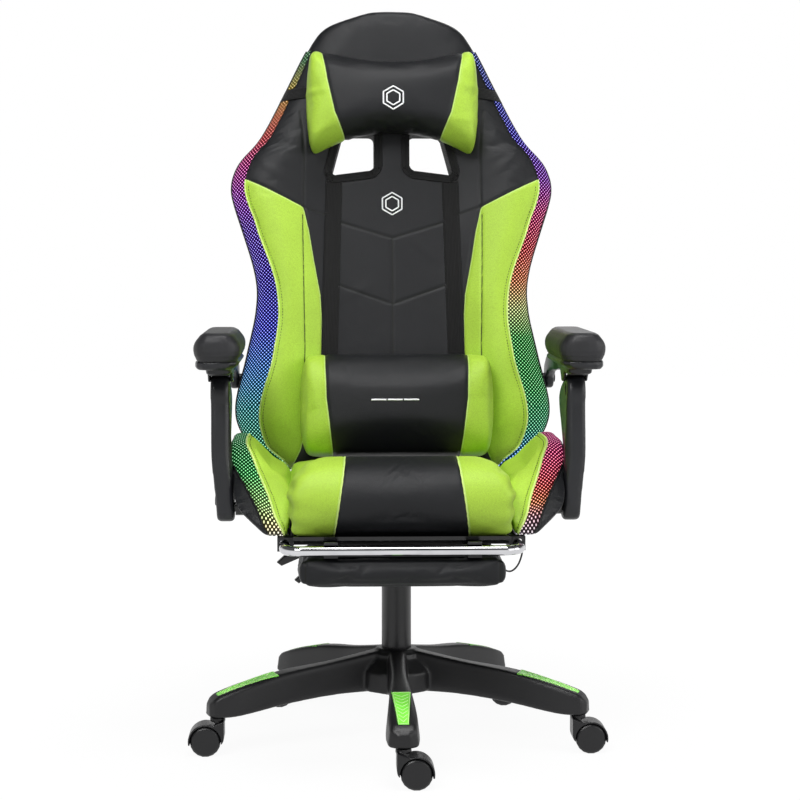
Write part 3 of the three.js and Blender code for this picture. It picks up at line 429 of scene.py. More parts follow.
def relax(obj, rounds):
    bm = bmesh.new()
    bm.from_mesh(obj.data)
    for _ in range(rounds):
        bmesh.ops.smooth_vert(bm, verts=bm.verts[:], factor=0.5, use_axis_x=True, use_axis_y=True,
                              use_axis_z=True)
    bm.to_mesh(obj.data)
    bm.free()


def refine(obj):
    fine = obj.modifiers.new("refine", "SUBSURF")
    fine.levels = fine.render_levels = 1
    return settle(obj)


SWELL_FRAMES = 20


def blow_up(obj, pressure, cap):
    """swells a closed cushion as its filling does, no point further than cap in mm"""
    rest = coords(obj)
    cloth = obj.modifiers.new("filling", "CLOTH")
    cloth.settings.use_pressure = True
    cloth.settings.uniform_pressure_force = pressure
    cloth.settings.effector_weights.gravity = 0
    cloth.settings.quality = 4
    cloth.point_cache.frame_start = 1
    cloth.point_cache.frame_end = SWELL_FRAMES
    for number in range(1, SWELL_FRAMES + 1):
        bpy.context.scene.frame_set(number)
    settle(obj)
    bpy.context.scene.frame_set(1)
    move = coords(obj) - rest
    reach = np.linalg.norm(move, axis=1)[:, None]
    move *= np.minimum(1.0, cap * MM / np.maximum(reach, 1e-9))
    set_coords(obj, rest + move)


def attribute(obj, name, values):
    made = obj.data.attributes.new(name, "FLOAT", "POINT")
    made.data.foreach_set("value", np.asarray(values, np.float32))


def fit(obj, node, spare, axes="xyz"):
    """brings a swollen cushion back to the size of its node, spare in mm beyond it, along some axes"""
    lo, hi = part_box(node)
    points = coords(obj)
    for k, axis in enumerate("xyz"):
        if axis in axes:
            a, b = points[:, k].min(), points[:, k].max()
            low, high = lo[k] - spare * MM, hi[k] + spare * MM
            points[:, k] = low + (points[:, k] - a) / (b - a) * (high - low)
    set_coords(obj, points)


def put(obj, body, *replaced, slot=None):
    """lets a piece ride on its body and stand for its CAD nodes"""
    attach(obj, body)
    if replaced:
        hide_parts(*replaced)
    return obj


def from_polyline(points, lines):
    """signed distance in mm of each point to the nearest of some polylines, in a plane.
    It is positive on the left of the line's direction"""
    points = np.asarray(points, float)
    best = np.full(len(points), 1e6)
    sign = np.ones(len(points))
    for line in lines:
        line = np.asarray(line, float)
        for a, b in zip(line[:-1], line[1:]):
            d = b - a
            share = np.clip(((points - a) @ d) / (d @ d), 0, 1)
            off = points - (a + share[:, None] * d)
            far = np.hypot(off[:, 0], off[:, 1])
            side = np.sign(d[0] * off[:, 1] - d[1] * off[:, 0])
            closer = far < best - 1e-6
            best = np.where(closer, far, best)
            sign = np.where(closer, side, sign)
    return best * np.where(sign == 0, 1, sign)


def folded(flat):
    """brings both halves of a plane onto the left one"""
    return np.abs(flat * (1, 0)) + flat * (0, 1)


def curve_through(knots):
    xs = [k[0] for k in knots]
    slopes = []
    for i in range(len(knots)):
        a, b = knots[max(0, i - 1)], knots[min(len(knots) - 1, i + 1)]
        slopes.append((b[1] - a[1]) / (b[0] - a[0]))

    def value(position):
        i = min(max(np.searchsorted(xs, position) - 1, 0), len(knots) - 2)
        (x0, y0), (x1, y1) = knots[i], knots[i + 1]
        span = x1 - x0
        u = min(1, max(0, (position - x0) / span))
        rise = (1 + 2 * u) * (1 - u) ** 2 * y0 + u * u * (3 - 2 * u) * y1
        return rise + span * (u * (1 - u) ** 2 * slopes[i] - u * u * (1 - u) * slopes[i + 1])
    return value


def smooth(low, high, value):
    share = min(1.0, max(0.0, (value - low) / (high - low)))
    return share * share * (3 - 2 * share)


def signed_power(value, power):
    return math.copysign(abs(value) ** power, value)


def mix(a, b, share):
    return a + (b - a) * share


def spline_at(points, place):
    """the spot on a smooth line through some vectors, at place from 0 to len(points) - 1"""
    i = min(int(place), len(points) - 2)
    u = place - i
    p0, p1 = points[max(0, i - 1)], points[i]
    p2, p3 = points[i + 1], points[min(len(points) - 1, i + 2)]
    return 0.5 * ((2 * p1) + (p2 - p0) * u + (2 * p0 - 5 * p1 + 4 * p2 - p3) * u * u
                  + (3 * p1 - p0 - 3 * p2 + p3) * u ** 3)


def dense(points, step):
    """a smooth line through a few points, with a point every step in mm"""
    points = [Vector(p) for p in points]
    line = []
    for i in range(len(points) - 1):
        count = max(1, round((points[i + 1] - points[i]).length / step))
        line += [spline_at(points, i + k / count) for k in range(count)]
    return line + [points[-1]]


def cord_curve(name, lines, radius, sides):
    """round cords along lines of points in metres, as one curve"""
    curve = bpy.data.curves.new(name, "CURVE")
    curve.dimensions = "3D"
    curve.bevel_depth = radius * MM
    curve.bevel_resolution = sides
    curve.use_fill_caps = True
    for points in lines:
        spline = curve.splines.new("POLY")
        spline.points.add(len(points) - 1)
        for spot, p in zip(spline.points, points):
            spot.co = (*p, 1)
    return into_scene(name, curve)


def cord_mesh(name, lines, radius, finish, body, slot, *replaced, sides=3):
    """the same cords as a mesh that rides on a body"""
    obj = cord_curve(name, lines, radius, sides)
    graph = bpy.context.evaluated_depsgraph_get()
    mesh = bpy.data.meshes.new_from_object(obj.evaluated_get(graph))
    bpy.data.objects.remove(obj)
    mesh.materials.clear()
    mesh.materials.append(finish)
    mesh.shade_smooth()
    return put(into_scene(name, mesh), body, *replaced, slot=slot)


# mm of thread that shows, and mm between two stitches
STITCH, STITCH_GAP = 3.6, 1.6


def stitches(line):
    """cuts a dense line of points into stitches"""
    pieces, piece, run = [], [line[0]], 0.0
    for a, b in zip(line[:-1], line[1:]):
        run += (b - a).length / MM
        if run % (STITCH + STITCH_GAP) < STITCH:
            piece.append(b)
        elif len(piece) > 1:
            pieces.append(piece)
            piece = []
    return pieces


def tree_of(obj):
    bm = bmesh.new()
    bm.from_mesh(obj.data)
    tree = BVHTree.FromBMesh(bm)
    bm.free()
    return tree


# stands for a distance in mm that is too far to matter
FAR = 99.0


def groove(obj, distance, depth, width, mask=1.0):
    """presses a seam into a cushion: depth and width in mm"""
    push = depth * MM * np.exp(-(np.asarray(distance) / width) ** 2) * mask
    set_coords(obj, coords(obj) - normals(obj) * push[:, None])


def softened(name, bm, voxel, rounds, finish=None):
    """a piece with its edges rounded over: remeshed with voxels in mm, then relaxed"""
    obj = object_of(name, bm, finish)
    remesh(obj, voxel)
    relax(obj, rounds)
    return obj


# ---------------------------------------------------------------- pieces from the frame
def body_of(node):
    return next(b for b, nodes in frame["record"]["behaviour"]["bodies"].items() if node in nodes)


def moulding(name, node, finish, voxel, rounds, move=None, slot=None):
    """a moulded piece: the frame's shape with its edges rounded over; move then shifts a point of it"""
    obj = softened(name, copy_of(node), voxel, rounds, finish)
    if move:
        points = coords(obj)
        for point in points:
            move(point)
        set_coords(obj, points)
    obj.data.shade_smooth()
    put(obj, body_of(node), node, slot=slot)


def upholster(obj, finish, body, node, slot):
    """covers a cushion and has it ride on its body"""
    obj.data.materials.clear()
    obj.data.materials.append(finish)
    obj.data.shade_smooth()
    put(obj, body, node, slot=slot)
    return obj


# two faces that meet at more than this many degrees have an edge between them
EDGE_ANGLE = 35


def machined(node, finish, bevel=0.7):
    """a cut, bent or turned piece: the frame's shape with small broken edges"""
    bm = copy_of(node)
    bmesh.ops.dissolve_limit(bm, angle_limit=math.radians(0.6), verts=bm.verts[:], edges=bm.edges[:])
    obj = object_of(node + "_part", bm, finish)
    obj.data.set_sharp_from_angle(angle=math.radians(EDGE_ANGLE))
    edge = obj.modifiers.new("edges", "BEVEL")
    edge.width = bevel * MM
    edge.segments = 2
    edge.limit_method = "ANGLE"
    edge.angle_limit = math.radians(EDGE_ANGLE)
    edge.harden_normals = True
    return put(obj, body_of(node), node)


# ---------------------------------------------------------------- shape of the back
# the back is drawn in mm across (x), through it towards the rear (t) and up along it (s)
AXIS_Y, AXIS_Z = 180.0, 415.0
LEAN = math.radians(8.5)
BACK_FOOT, BACK_CROWN = 36.0, 859.0
# how far the middle of the front and the rear stand from the plane between them
FRONT, REAR = 38, 30
# the section of the back is a rounded box: x and t are cosine and sine to these powers
ROUND_X, ROUND_T = 0.55, 0.5
back_half = curve_through([(36, 196), (70, 252), (128, 279), (224, 258), (345, 241), (460, 267), (525, 288),
                           (572, 276), (612, 242), (650, 219), (722, 182), (800, 142), (832, 113), (859, 40)])
back_bolster = curve_through([(36, 20), (150, 50), (300, 46), (540, 34), (680, 12), (859, 0)])


def on_back(x, t, s):
    """a point of the back: across, through (towards the rear) and up along it, mm to metres"""
    c, n = math.cos(LEAN), math.sin(LEAN)
    return Vector((x, AXIS_Y + s * n + t * c, AXIS_Z + s * c - t * n)) * MM


# rays that feel for the front of the back start at BEFORE and go this way
BEFORE = -320
INTO_BACK = (on_back(0, 1, 0) - on_back(0, 0, 0)).normalized()


def to_back(points):
    """the inverse of on_back, for many points"""
    p = np.asarray(points) / MM - (0, AXIS_Y, AXIS_Z)
    c, n = math.cos(LEAN), math.sin(LEAN)
    return np.stack([p[:, 0], p[:, 1] * c - p[:, 2] * n, p[:, 1] * n + p[:, 2] * c], axis=1)


def end_share(s):
    height = math.acos(min(1, max(-1, 1 - 2 * (s - BACK_FOOT) / (BACK_CROWN - BACK_FOOT)))) / math.pi
    return min(1.0, 0.6 + math.sin(math.pi * height) * 2)


def bolster(x, s):
    """how much further the front stands out at x"""
    return back_bolster(s) * smooth(0.36, 0.82, abs(x) / back_half(s))


def back_depth(x, s):
    """how far the front face stands before the frame plane"""
    share = min(1.0, abs(x) / back_half(s))
    front = (FRONT + bolster(x, s)) * end_share(s)
    return front * (1 - share ** (1 / 0.275)) ** 0.25


def quarter_of_section():
    """a quarter of the section, from the side (1, 0) to the middle (0, 1)"""
    steep = [(1 - t ** 4) ** 0.275 for t in (0, 0.15, 0.3, 0.45, 0.6, 0.72, 0.8)]
    flat = [steep[-1] * (1 - k / 18) for k in range(1, 19)]
    return [(u, (1 - u ** (1 / 0.275)) ** 0.25) for u in steep + flat]


def lofted(count, stations, place):
    """a closed form through rings of count points: place(station, i) gives each point in metres"""
    bm = bmesh.new()
    turn = bm.verts.layers.int.new("turn")
    for i, v in enumerate(bmesh.ops.create_circle(bm, cap_ends=False, segments=count, radius=1)["verts"]):
        v[turn] = i
    edges, verts = bm.edges[:], bm.verts[:]
    for k in range(stations + 1):
        if k:
            grown = bmesh.ops.extrude_edge_only(bm, edges=edges)["geom"]
            verts = [g for g in grown if isinstance(g, bmesh.types.BMVert)]
            fresh = set(verts)
            edges = [g for g in grown if isinstance(g, bmesh.types.BMEdge) and fresh.issuperset(g.verts)]
        for v in verts:
            v.co = place(k, v[turn])
    bmesh.ops.holes_fill(bm, edges=[e for e in bm.edges if e.is_boundary], sides=0)
    turn_out(bm)
    return bm


def back_form(grow):
    """the whole back as one smooth closed form, larger by grow in mm"""
    stations = 90
    quarter = quarter_of_section()
    half = quarter + [(-u, w) for u, w in reversed(quarter[:-1])]
    ring = half + [(u, -w) for u, w in reversed(half[1:-1])]

    def place(k, i):
        share = (1 - math.cos(math.pi * k / stations)) / 2
        level = mix(BACK_FOOT, BACK_CROWN, share)
        end = min(1.0, 0.6 + math.sin(math.pi * k / stations) * 2)
        u, w = ring[i]
        x = u * (back_half(level) + grow)
        front = (FRONT + grow + bolster(x, level)) * end
        t = -w * front if w > 0 else -w * (REAR + grow) * end
        return on_back(x, t, mix(BACK_FOOT - grow, BACK_CROWN + grow, share))
    return lofted(len(ring), stations, place)


# the left opening of the back: its corners, their radius, and how much wider the cover is cut, in mm
HOLE = [(31, 632), (88, 632), (110, 550), (31, 560)]
HOLE_RADIUS, HOLE_SPARE = 12, 6


def rounded(corners, radius):
    """a closed outline with its corners rounded: (point, outward way) pairs, 2 mm apart"""
    corners = [Vector(c) for c in corners]
    line = []
    for i, corner in enumerate(corners):
        into = (corner - corners[i - 1]).normalized()
        out = (corners[(i + 1) % len(corners)] - corner).normalized()
        a, b = corner - into * radius, corner + out * radius
        for k in range(7):
            u = k / 6
            line.append(a * (1 - u) ** 2 + corner * 2 * u * (1 - u) + b * u * u)
    line = dense([(*p, 0) for p in line + line[:1]], 2.0)[:-1]
    centre = sum((p for p in line), Vector((0, 0, 0))) / len(line)
    ring = []
    for i, p in enumerate(line):
        along = (line[(i + 1) % len(line)] - line[i - 1]).normalized()
        away = Vector((along.y, -along.x, 0))
        ring.append((p.xy, (away if away.dot(p - centre) > 0 else -away).xy))
    return ring


def hole_cutter(side):
    """the opening as a bar through the back"""
    ring = [p + away * HOLE_SPARE for p, away in rounded(HOLE, HOLE_RADIUS)]
    levels = (-160, 110)
    return lofted(len(ring), 1, lambda k, i: on_back(side * ring[i].x, levels[k], ring[i].y))


def cut(obj, cutter_bm):
    cutter = object_of("cutter", cutter_bm)
    knife = obj.modifiers.new("cut", "BOOLEAN")
    knife.operation = "DIFFERENCE"
    knife.solver = "MANIFOLD"
    knife.object = cutter
    settle(obj)
    bpy.data.objects.remove(cutter)
    return obj


band_width = curve_through([(20, 10), (58, 24), (98, 38), (150, 47), (275, 46), (347, 37), (454, 26),
                            (529, 27), (569, 26), (601, 21), (633, 20), (722, 14), (800, 9)])


def side_line(s):
    """inner edge of the light band, which is the outer edge of the green panel"""
    return back_half(s) - band_width(s)


GREEN_EDGE = [(256, 540), (157, 492), (147, 449), (139, 400), (127, 335), (124.5, 290), (124.5, 235),
              (137, 150), (163, 60), (175, 36), (178, 20)]
CHEVRONS = [[(-92, 466), (0, 438), (92, 466)], [(-94, 353), (0, 320), (94, 353)], [(0, 438), (0, 60)]]
SIDE_SEAMS = [[(159, 478), (157, 350), (155, 240), (158, 130)], [(163, 665), (158, 628), (156, 585),
              (157, 540), (157, 492)], [(157, 492), (108, 477)]]
REAR_SEAMS = [[(-150, 700), (-150, 60)], [(150, 700), (150, 60)], [(-240, 560), (240, 560)]]
# soft creases of the cover: (x, s, angle, length, width, depth)
CREASES = [(-205, 590, -35, 45, 7, 0.9), (-215, 560, -25, 40, 6, 0.8), (210, 600, 30, 45, 7, 0.9),
           (200, 570, 50, 30, 6, 0.7), (-60, 345, 35, 30, 7, 0.5), (55, 420, -40, 30, 7, 0.5),
           (-128, 120, 70, 40, 7, 0.8), (130, 110, 110, 40, 7, 0.8)]


def mirrored(lines):
    return lines + [[(-x, s) for x, s in line] for line in lines]


def make_back_cover():
    obj = object_of("back_cover", back_form(-0.5))
    for side in (1, -1):
        cut(obj, hole_cutter(side))
    remesh(obj, 4.6)
    relax(obj, 3)
    blow_up(obj, 2.0, 2.0)
    refine(obj)
    place = to_back(coords(obj))
    sag = np.array([9 * (1 - smooth(36, 90, s)) + 4.5 * smooth(790, 859, s) for s in place[:, 2]])
    place[:, 2] -= sag
    set_coords(obj, [on_back(*p) for p in place])
    front = place[:, 1] < 0
    flat = place[:, [0, 2]]
    green = from_polyline(folded(flat), [GREEN_EDGE])
    under_net = np.array([side_line(s) + 5 for s in place[:, 2]]) - np.abs(place[:, 0])
    attribute(obj, "panel", np.where(front, np.minimum(green, under_net), -50.0))
    seams = np.abs(from_polyline(flat, mirrored(SIDE_SEAMS) + CHEVRONS))
    edges = np.abs(green)
    groove(obj, np.where(front, seams, FAR), 1.3, 2.4)
    groove(obj, np.where(front, edges, FAR), 2.0, 3.2)
    rear = np.where(front, FAR, np.abs(from_polyline(flat, REAR_SEAMS)))
    groove(obj, rear, 2.0, 3.5)
    attribute(obj, "seam", np.where(front, np.minimum(seams, edges), rear))
    wrinkles(obj, CREASES, 0.4, -20)
    return upholster(obj, two_tone_leather, "back", "back_cushion", "black_leather")


def patch(columns, rows, place):
    """a rectangular piece of cloth: place(u, v) gives a point in metres and its place in the weave in mm"""
    bm = bmesh.new()
    bmesh.ops.create_grid(bm, x_segments=columns, y_segments=rows, size=1)
    weave = bm.verts.layers.float_vector.new("weave")
    for v in bm.verts:
        point, pattern = place((v.co.x + 1) / 2, (v.co.y + 1) / 2)
        v.co = point
        v[weave] = pattern
    return bm


def thick(bm, thickness):
    bmesh.ops.solidify(bm, geom=bm.faces[:], thickness=thickness * MM)
    turn_out(bm)
    return bm


def lay_on(tree, point, proud):
    """the spot of a cushion nearest to a point, lifted off it by proud in mm"""
    hit, normal, _, _ = tree.find_nearest(point)
    return hit + normal * proud * MM


def along_line(points, share):
    """the point at a share of the length of a line of vectors, and its distance from the start"""
    steps = [(b - a).length for a, b in zip(points[:-1], points[1:])]
    whole = sum(steps)
    left = share * whole
    for a, b, step in zip(points[:-1], points[1:], steps):
        if left <= step:
            return a.lerp(b, left / max(step, 1e-9)), share * whole
        left -= step
    return points[-1], whole


LEFT_BACK = [(430, "#08963C"), (482, "#10A868"), (553, "#12A6A8"), (624, "#1C84E0"), (695, "#2838E8"),
             (766, "#3020D0"), (871, "#6018C8"), (924, "#A010C8"), (977, "#D008A0"), (1029, "#E02038"),
             (1070, "#E86818"), (1116, "#D0B020"), (1171, "#188038")]
RIGHT_BACK = [(430, "#1040C0"), (482, "#0C88C8"), (517, "#08B078"), (588, "#08B048"), (680, "#20B038"),
              (730, "#C8D880"), (780, "#E88038"), (836, "#E01C30"), (900, "#D80880"), (959, "#9010C8"),
              (1030, "#3820D0"), (1100, "#2838C8"), (1171, "#2040B0")]
LEFT_SEAT = [(377, "#A8AAB4"), (398, "#F0E4A0"), (430, "#A8E878"), (470, "#12C850"), (515, "#0C9444")]
RIGHT_SEAT = [(377, "#B0B0B8"), (410, "#C08898"), (430, "#F08038"), (452, "#F03830"), (480, "#F02068"),
              (515, "#D00C80")]


# the share of the band's width that is net, before the black leather of the side
NET_END = 0.76
# the levels where the bands begin and end, and where the green panels end
BAND_FOOT, BAND_TOP, GREEN_TOP = 29, 780, 541


def band_section(side, s):
    """across the light band at a level: from its inner edge on the front, round to the widest line"""
    half = back_half(s)
    first = math.acos(min(1, (side_line(s) / half)) ** (1 / ROUND_X))
    points = []
    for k in range(25):
        a = first * (1 - k / 24)
        x = half * math.cos(a) ** ROUND_X
        t = -math.sin(a) ** ROUND_T * (FRONT + bolster(x, s)) * end_share(s) if a > 1e-6 else 0.0
        points.append(on_back(side * x, t, s))
    return points


def make_back_bands(tree):
    finishes = {1: lit_net("net over lights, back left", 430, 1171, RIGHT_BACK),
                -1: lit_net("net over lights, back right", 430, 1171, LEFT_BACK)}
    for side, word in SIDES:
        sections = {}

        def place(u, v, side=side, sections=sections):
            s = mix(BAND_FOOT, BAND_TOP, v)
            if s not in sections:
                sections[s] = band_section(side, s)
            point, run = along_line(sections[s], u * NET_END)
            across = mix(run, abs(point.x), 0.7) / MM
            return lay_on(tree, point, 0.5 + 1.6 * math.sin(math.pi * u) ** 0.5), Vector((across, s, u))
        obj = object_of(f"back_lights_{word}", thick(patch(14, 170, place), 1.2), finishes[side])
        refine(obj)
        put(obj, "back", f"back_light_band_{word}", slot="light_mesh")


def make_back_piping(tree):
    def line(side, low, high, share, proud):
        return [lay_on(tree, along_line(band_section(side, s), share)[0], proud) for s in
                np.linspace(low, high, int((high - low) / 4))]

    for name, low, high, share, proud, radius, finish in (
            ("back_green_piping", BAND_FOOT, GREEN_TOP, 0.0, 0.9, 1.5, green_piping),
            ("back_black_piping", BAND_FOOT, BAND_TOP + 2, NET_END, 1.6, 1.8, black_piping),
            ("shoulder_piping", GREEN_TOP, BAND_TOP + 2, 0.0, 0.6, 0.9, black_piping)):
        lines = [line(side, low, high, share, proud) for side in (1, -1)]
        cord_mesh(name, lines, radius, finish, "back", "black_leather")
    threads = []
    for side in (1, -1):
        run = [lay_on(tree, on_back(side * (side_line(s) - 6), -back_depth(side_line(s) - 6, s), s), 0.25)
               for s in np.linspace(56, 533, 480)]
        threads += stitches(run)
    cord_mesh("back_stitches", threads, 0.5, thread, "back", "webbing", sides=1)


def make_trims(tree):
    """webbing folded over the edge of each opening: behind, through and in front"""
    ring = rounded(HOLE, HOLE_RADIUS)
    width = 14.0
    for side, word in SIDES:
        def place(u, v, side=side):
            spot, away = ring[round(v * len(ring)) % len(ring)]
            run = v * 260
            if u < 0.25:
                at = spot + away * width * (1 - u / 0.25)
                behind = on_back(side * at.x, REAR * end_share(at.y) + 1.4, at.y)
                return behind, Vector((u * 4 * width, run, 0))
            if u < 0.75:
                depth = back_depth(spot.x, spot.y)
                t = mix(31, -depth - 1.2, (u - 0.25) / 0.5)
                return on_back(side * spot.x, t, spot.y), Vector((u * 120, run, 0))
            at = spot + away * width * (u - 0.75) / 0.25
            depth = back_depth(at.x, at.y)
            if u > 0.87:
                front = lay_on(tree, on_back(side * at.x, -depth, at.y), 1.6)
            else:
                front = on_back(side * at.x, -depth - 1.6, at.y)
            return front, Vector((u * 4 * width, run, 0))
        bm = patch(16, len(ring), place)
        bmesh.ops.remove_doubles(bm, verts=bm.verts[:], dist=0.5 * MM)
        turn_out(bm)
        obj = object_of(f"harness_webbing_{word}", bm, strap_web)
        shell = obj.modifiers.new("thickness", "SOLIDIFY")
        shell.thickness = 1.3 * MM
        shell.offset = 0
        settle(obj)
        put(obj, "back", f"harness_trim_{word}", slot="webbing")


BELT_FOOT, BELT_TOP = 44, 540


def belt_centre(s):
    return 15 + mix(104, 88, (s - 36) / 526)


def make_belts(tree):
    """each belt comes out of its opening, runs down the front, under the foot and up behind"""
    width = 30.0
    for side, word in SIDES:
        def place(u, v, side=side):
            across = (u - 0.5) * width
            if v < 0.48:
                s = mix(BELT_TOP, BELT_FOOT, v / 0.48)
                x = belt_centre(s) + across
                return lay_on(tree, on_back(side * x, -back_depth(x, s), s), 1.0), Vector((across, s, 0))
            if v > 0.52:
                s = mix(BELT_FOOT, BELT_TOP, (v - 0.52) / 0.48)
                x = belt_centre(s) + across
                return lay_on(tree, on_back(side * x, REAR * end_share(s), s), 1.0), Vector((across, s, 0))
            turn = (v - 0.48) / 0.04
            x = belt_centre(BELT_FOOT) + across
            t = mix(-back_depth(x, BELT_FOOT), REAR * end_share(BELT_FOOT), turn)
            low = on_back(side * x, t, 40 - 8 * math.sin(turn * math.pi))
            return lay_on(tree, low, 1.0), Vector((across, turn * 60, 0))
        obj = object_of(f"lumbar_webbing_{word}", thick(patch(6, 170, place), -1.4), strap_web)
        put(obj, "back", f"lumbar_belt_{word}", slot="webbing")


def make_pillow_strap(tree):
    def place(u, v):
        angle = v * 2 * math.pi
        s = 701 + (u - 0.5) * 21 - 5 * math.cos(angle) ** 2
        share = math.cos(angle)
        half = back_half(s)
        x = signed_power(share, ROUND_X) * half
        lift = abs(math.sin(angle)) ** ROUND_T
        t = -lift * (FRONT + bolster(x, s)) if math.sin(angle) > 0 else lift * REAR
        proud = 1.0 + 2.0 * smooth(0.75, 1.0, abs(x) / half)
        return lay_on(tree, on_back(x, t * end_share(s), s), proud), Vector((u * 21, v * 900, 0))
    obj = object_of("pillow_webbing", thick(patch(5, 220, place), -1.2), strap_web)
    put(obj, "back", "pillow_strap", slot="webbing")


# ---------------------------------------------------------------- pillows
def pillow_form(half, middle, end, centre, dip, front, thin, shift=0.0):
    """a stuffed pillow lying across the back: its half height goes from middle to end,
    its depth from front to its share thin of that, and its middle lies lower by dip"""
    bm = bmesh.new()
    bmesh.ops.create_uvsphere(bm, u_segments=96, v_segments=64, radius=1)
    bmesh.ops.rotate(bm, verts=bm.verts[:], cent=(0, 0, 0), matrix=Matrix.Rotation(math.pi / 2, 3, "Y"))
    for v in bm.verts:
        angle = math.atan2(v.co.z, v.co.y)
        along = math.copysign(1 - (1 - abs(v.co.x)) ** 1.7, v.co.x)
        pole = math.hypot(v.co.y, v.co.z) < 1e-4
        close = 0.0 if pole else (1 - abs(along) ** 44) ** 0.5
        tall = mix(middle, end, along * along)
        square = mix(0.72, 0.30, along * along)
        rise = signed_power(math.sin(angle), square)
        s = centre - dip * (1 - along * along) + rise * tall * close
        depth = front * mix(1.0, thin, along * along) if math.cos(angle) < 0 else 4
        t = signed_power(math.cos(angle), 0.78) * depth * close
        v.co = on_back(shift + along * half, -44 + t, s)
    turn_out(bm)
    return bm


def keep_off_back(obj, tree, clear):
    """pushes the points of a pillow forward, to clear in mm off the cover"""
    points = []
    for x, t, s in to_back(coords(obj)):
        hit = tree.ray_cast(on_back(x, BEFORE, s), INTO_BACK)[0]
        level = min(max(s, BACK_FOOT), BACK_CROWN)
        face = to_back([hit])[0][1] if hit is not None else -back_depth(x, level)
        points.append(on_back(x, min(t, face - clear), s))
    set_coords(obj, points)


def wrinkles(obj, spots, seed, before=-60):
    """soft creases: (x, s, angle, length, width, depth) in mm on the front of a piece of the back"""
    place = to_back(coords(obj))
    push = np.zeros(len(place))
    for x, s, angle, length, width, depth in spots:
        c, n = math.cos(math.radians(angle)), math.sin(math.radians(angle))
        dx, ds = place[:, 0] - x, place[:, 2] - s
        along, over = dx * c + ds * n, -dx * n + ds * c
        over = over + 3 * np.sin(along / 17 + seed)
        fold = np.cos(over / width) * np.exp(-(over / (2 * width)) ** 2)
        push += depth * np.exp(-(along / length) ** 2) * fold
    push *= place[:, 1] < before
    set_coords(obj, coords(obj) + normals(obj) * (push * MM)[:, None])


def make_pillow(tree, node, form, spare, edge, creases, seed, shift=0.0, centre=0.0):
    """form is what pillow_form takes before the shift to the left; edge is the seam between the black middle
    and the green end on the left, drawn upwards"""
    obj = object_of(node + "_cover", pillow_form(*form, shift))
    remesh(obj, 4.0)
    blow_up(obj, 2.5, 4.0)
    fit(obj, node, spare, "x")
    set_coords(obj, coords(obj) + (shift * MM, 0, 0))
    keep_off_back(obj, tree, 3.0)
    relax(obj, 2)
    refine(obj)
    flat = to_back(coords(obj))[:, [0, 2]] - (centre, 0)
    off = -from_polyline(folded(flat), [edge])
    attribute(obj, "panel", off)
    seam = np.abs(off)
    groove(obj, seam, 2.0, 3.6)
    attribute(obj, "seam", seam)
    wrinkles(obj, creases, seed)
    return upholster(obj, two_tone_leather, "back", node, "black_leather")


HEAD_FORM, LUMBAR_FORM = (151, 63, 98, 677, -7, 84, 0.74), (170, 88, 90, 137, 0, 100, 0.9)
HEAD_SEAM = [(66, 560), (80, 600), (102, 650), (115, 708), (123, 760), (125, 800)]
LUMBAR_SEAM = [(109, 20), (111, 58), (121.6, 146), (124, 225), (124, 270)]
HEAD_CREASES = [(-137, 690, 5, 20, 5, 1.8), (-132, 745, -30, 16, 5, 1.2), (133, 700, -8, 22, 6, 1.6),
                (-30, 735, 0, 70, 9, 0.7), (60, 738, 12, 40, 8, 0.8), (130, 640, 10, 20, 6, 1.2),
                (-128, 620, 40, 20, 6, 1.2), (20, 640, 4, 60, 10, 0.6)]
LUMBAR_CREASES = [(0, 215, 2, 110, 9, 0.6), (-144, 150, 80, 40, 8, 1.0), (150, 150, 95, 40, 8, 1.0),
                  (-140, 215, 20, 16, 5, 0.9), (146, 215, -20, 16, 5, 0.9)]


def project(tree, x, s):
    """the point on a cushion's front at x, s of the back, and its normal"""
    hit, normal, _, _ = tree.ray_cast(on_back(x, BEFORE, s), INTO_BACK)
    return (hit, normal) if hit is not None else (on_back(x, -40, s), -INTO_BACK)


def embroidery(name, cover, lines, width):
    """satin-stitched lines on a cushion: raised flat cords of thread"""
    tree = tree_of(cover)
    cords = []
    for line in lines:
        points = dense([(x, s, 0) for x, s in line], 1.5)
        cords.append([hit + normal * 0.3 * MM for hit, normal in
                      (project(tree, p.x, p.y) for p in points)])
    cord_mesh(name, cords, width / 2, white_thread, "back", "webbing")


def hexagon(x, s, radius):
    angles = [math.radians(60 * k + 30) for k in range(6)]
    ring = [(x + radius * math.cos(angle), s + radius * math.sin(angle)) for angle in angles]
    sides = []
    for a, b in zip(ring, ring[1:] + ring[:1]):
        sides.append([a, ((a[0] + b[0]) / 2, (a[1] + b[1]) / 2), b])
    return sides


# ---------------------------------------------------------------- seat
def seat_edge(z):
    """half width of the black middle of the seat at a height"""
    return mix(107, 88, min(1, max(0, (z - 385) / 129)))


# how far behind the front of the seat its front roll ends
FRONT_ROLL = 128
# creases of the roll's corners on both sides: (x, y, z, width, length, depth)
ROLL_CREASES = [(172, -240, 463, 9, 30, 2.6), (150, -236, 492, 14, 18, 0.9), (166, -250, 426, 16, 22, 0.8)]


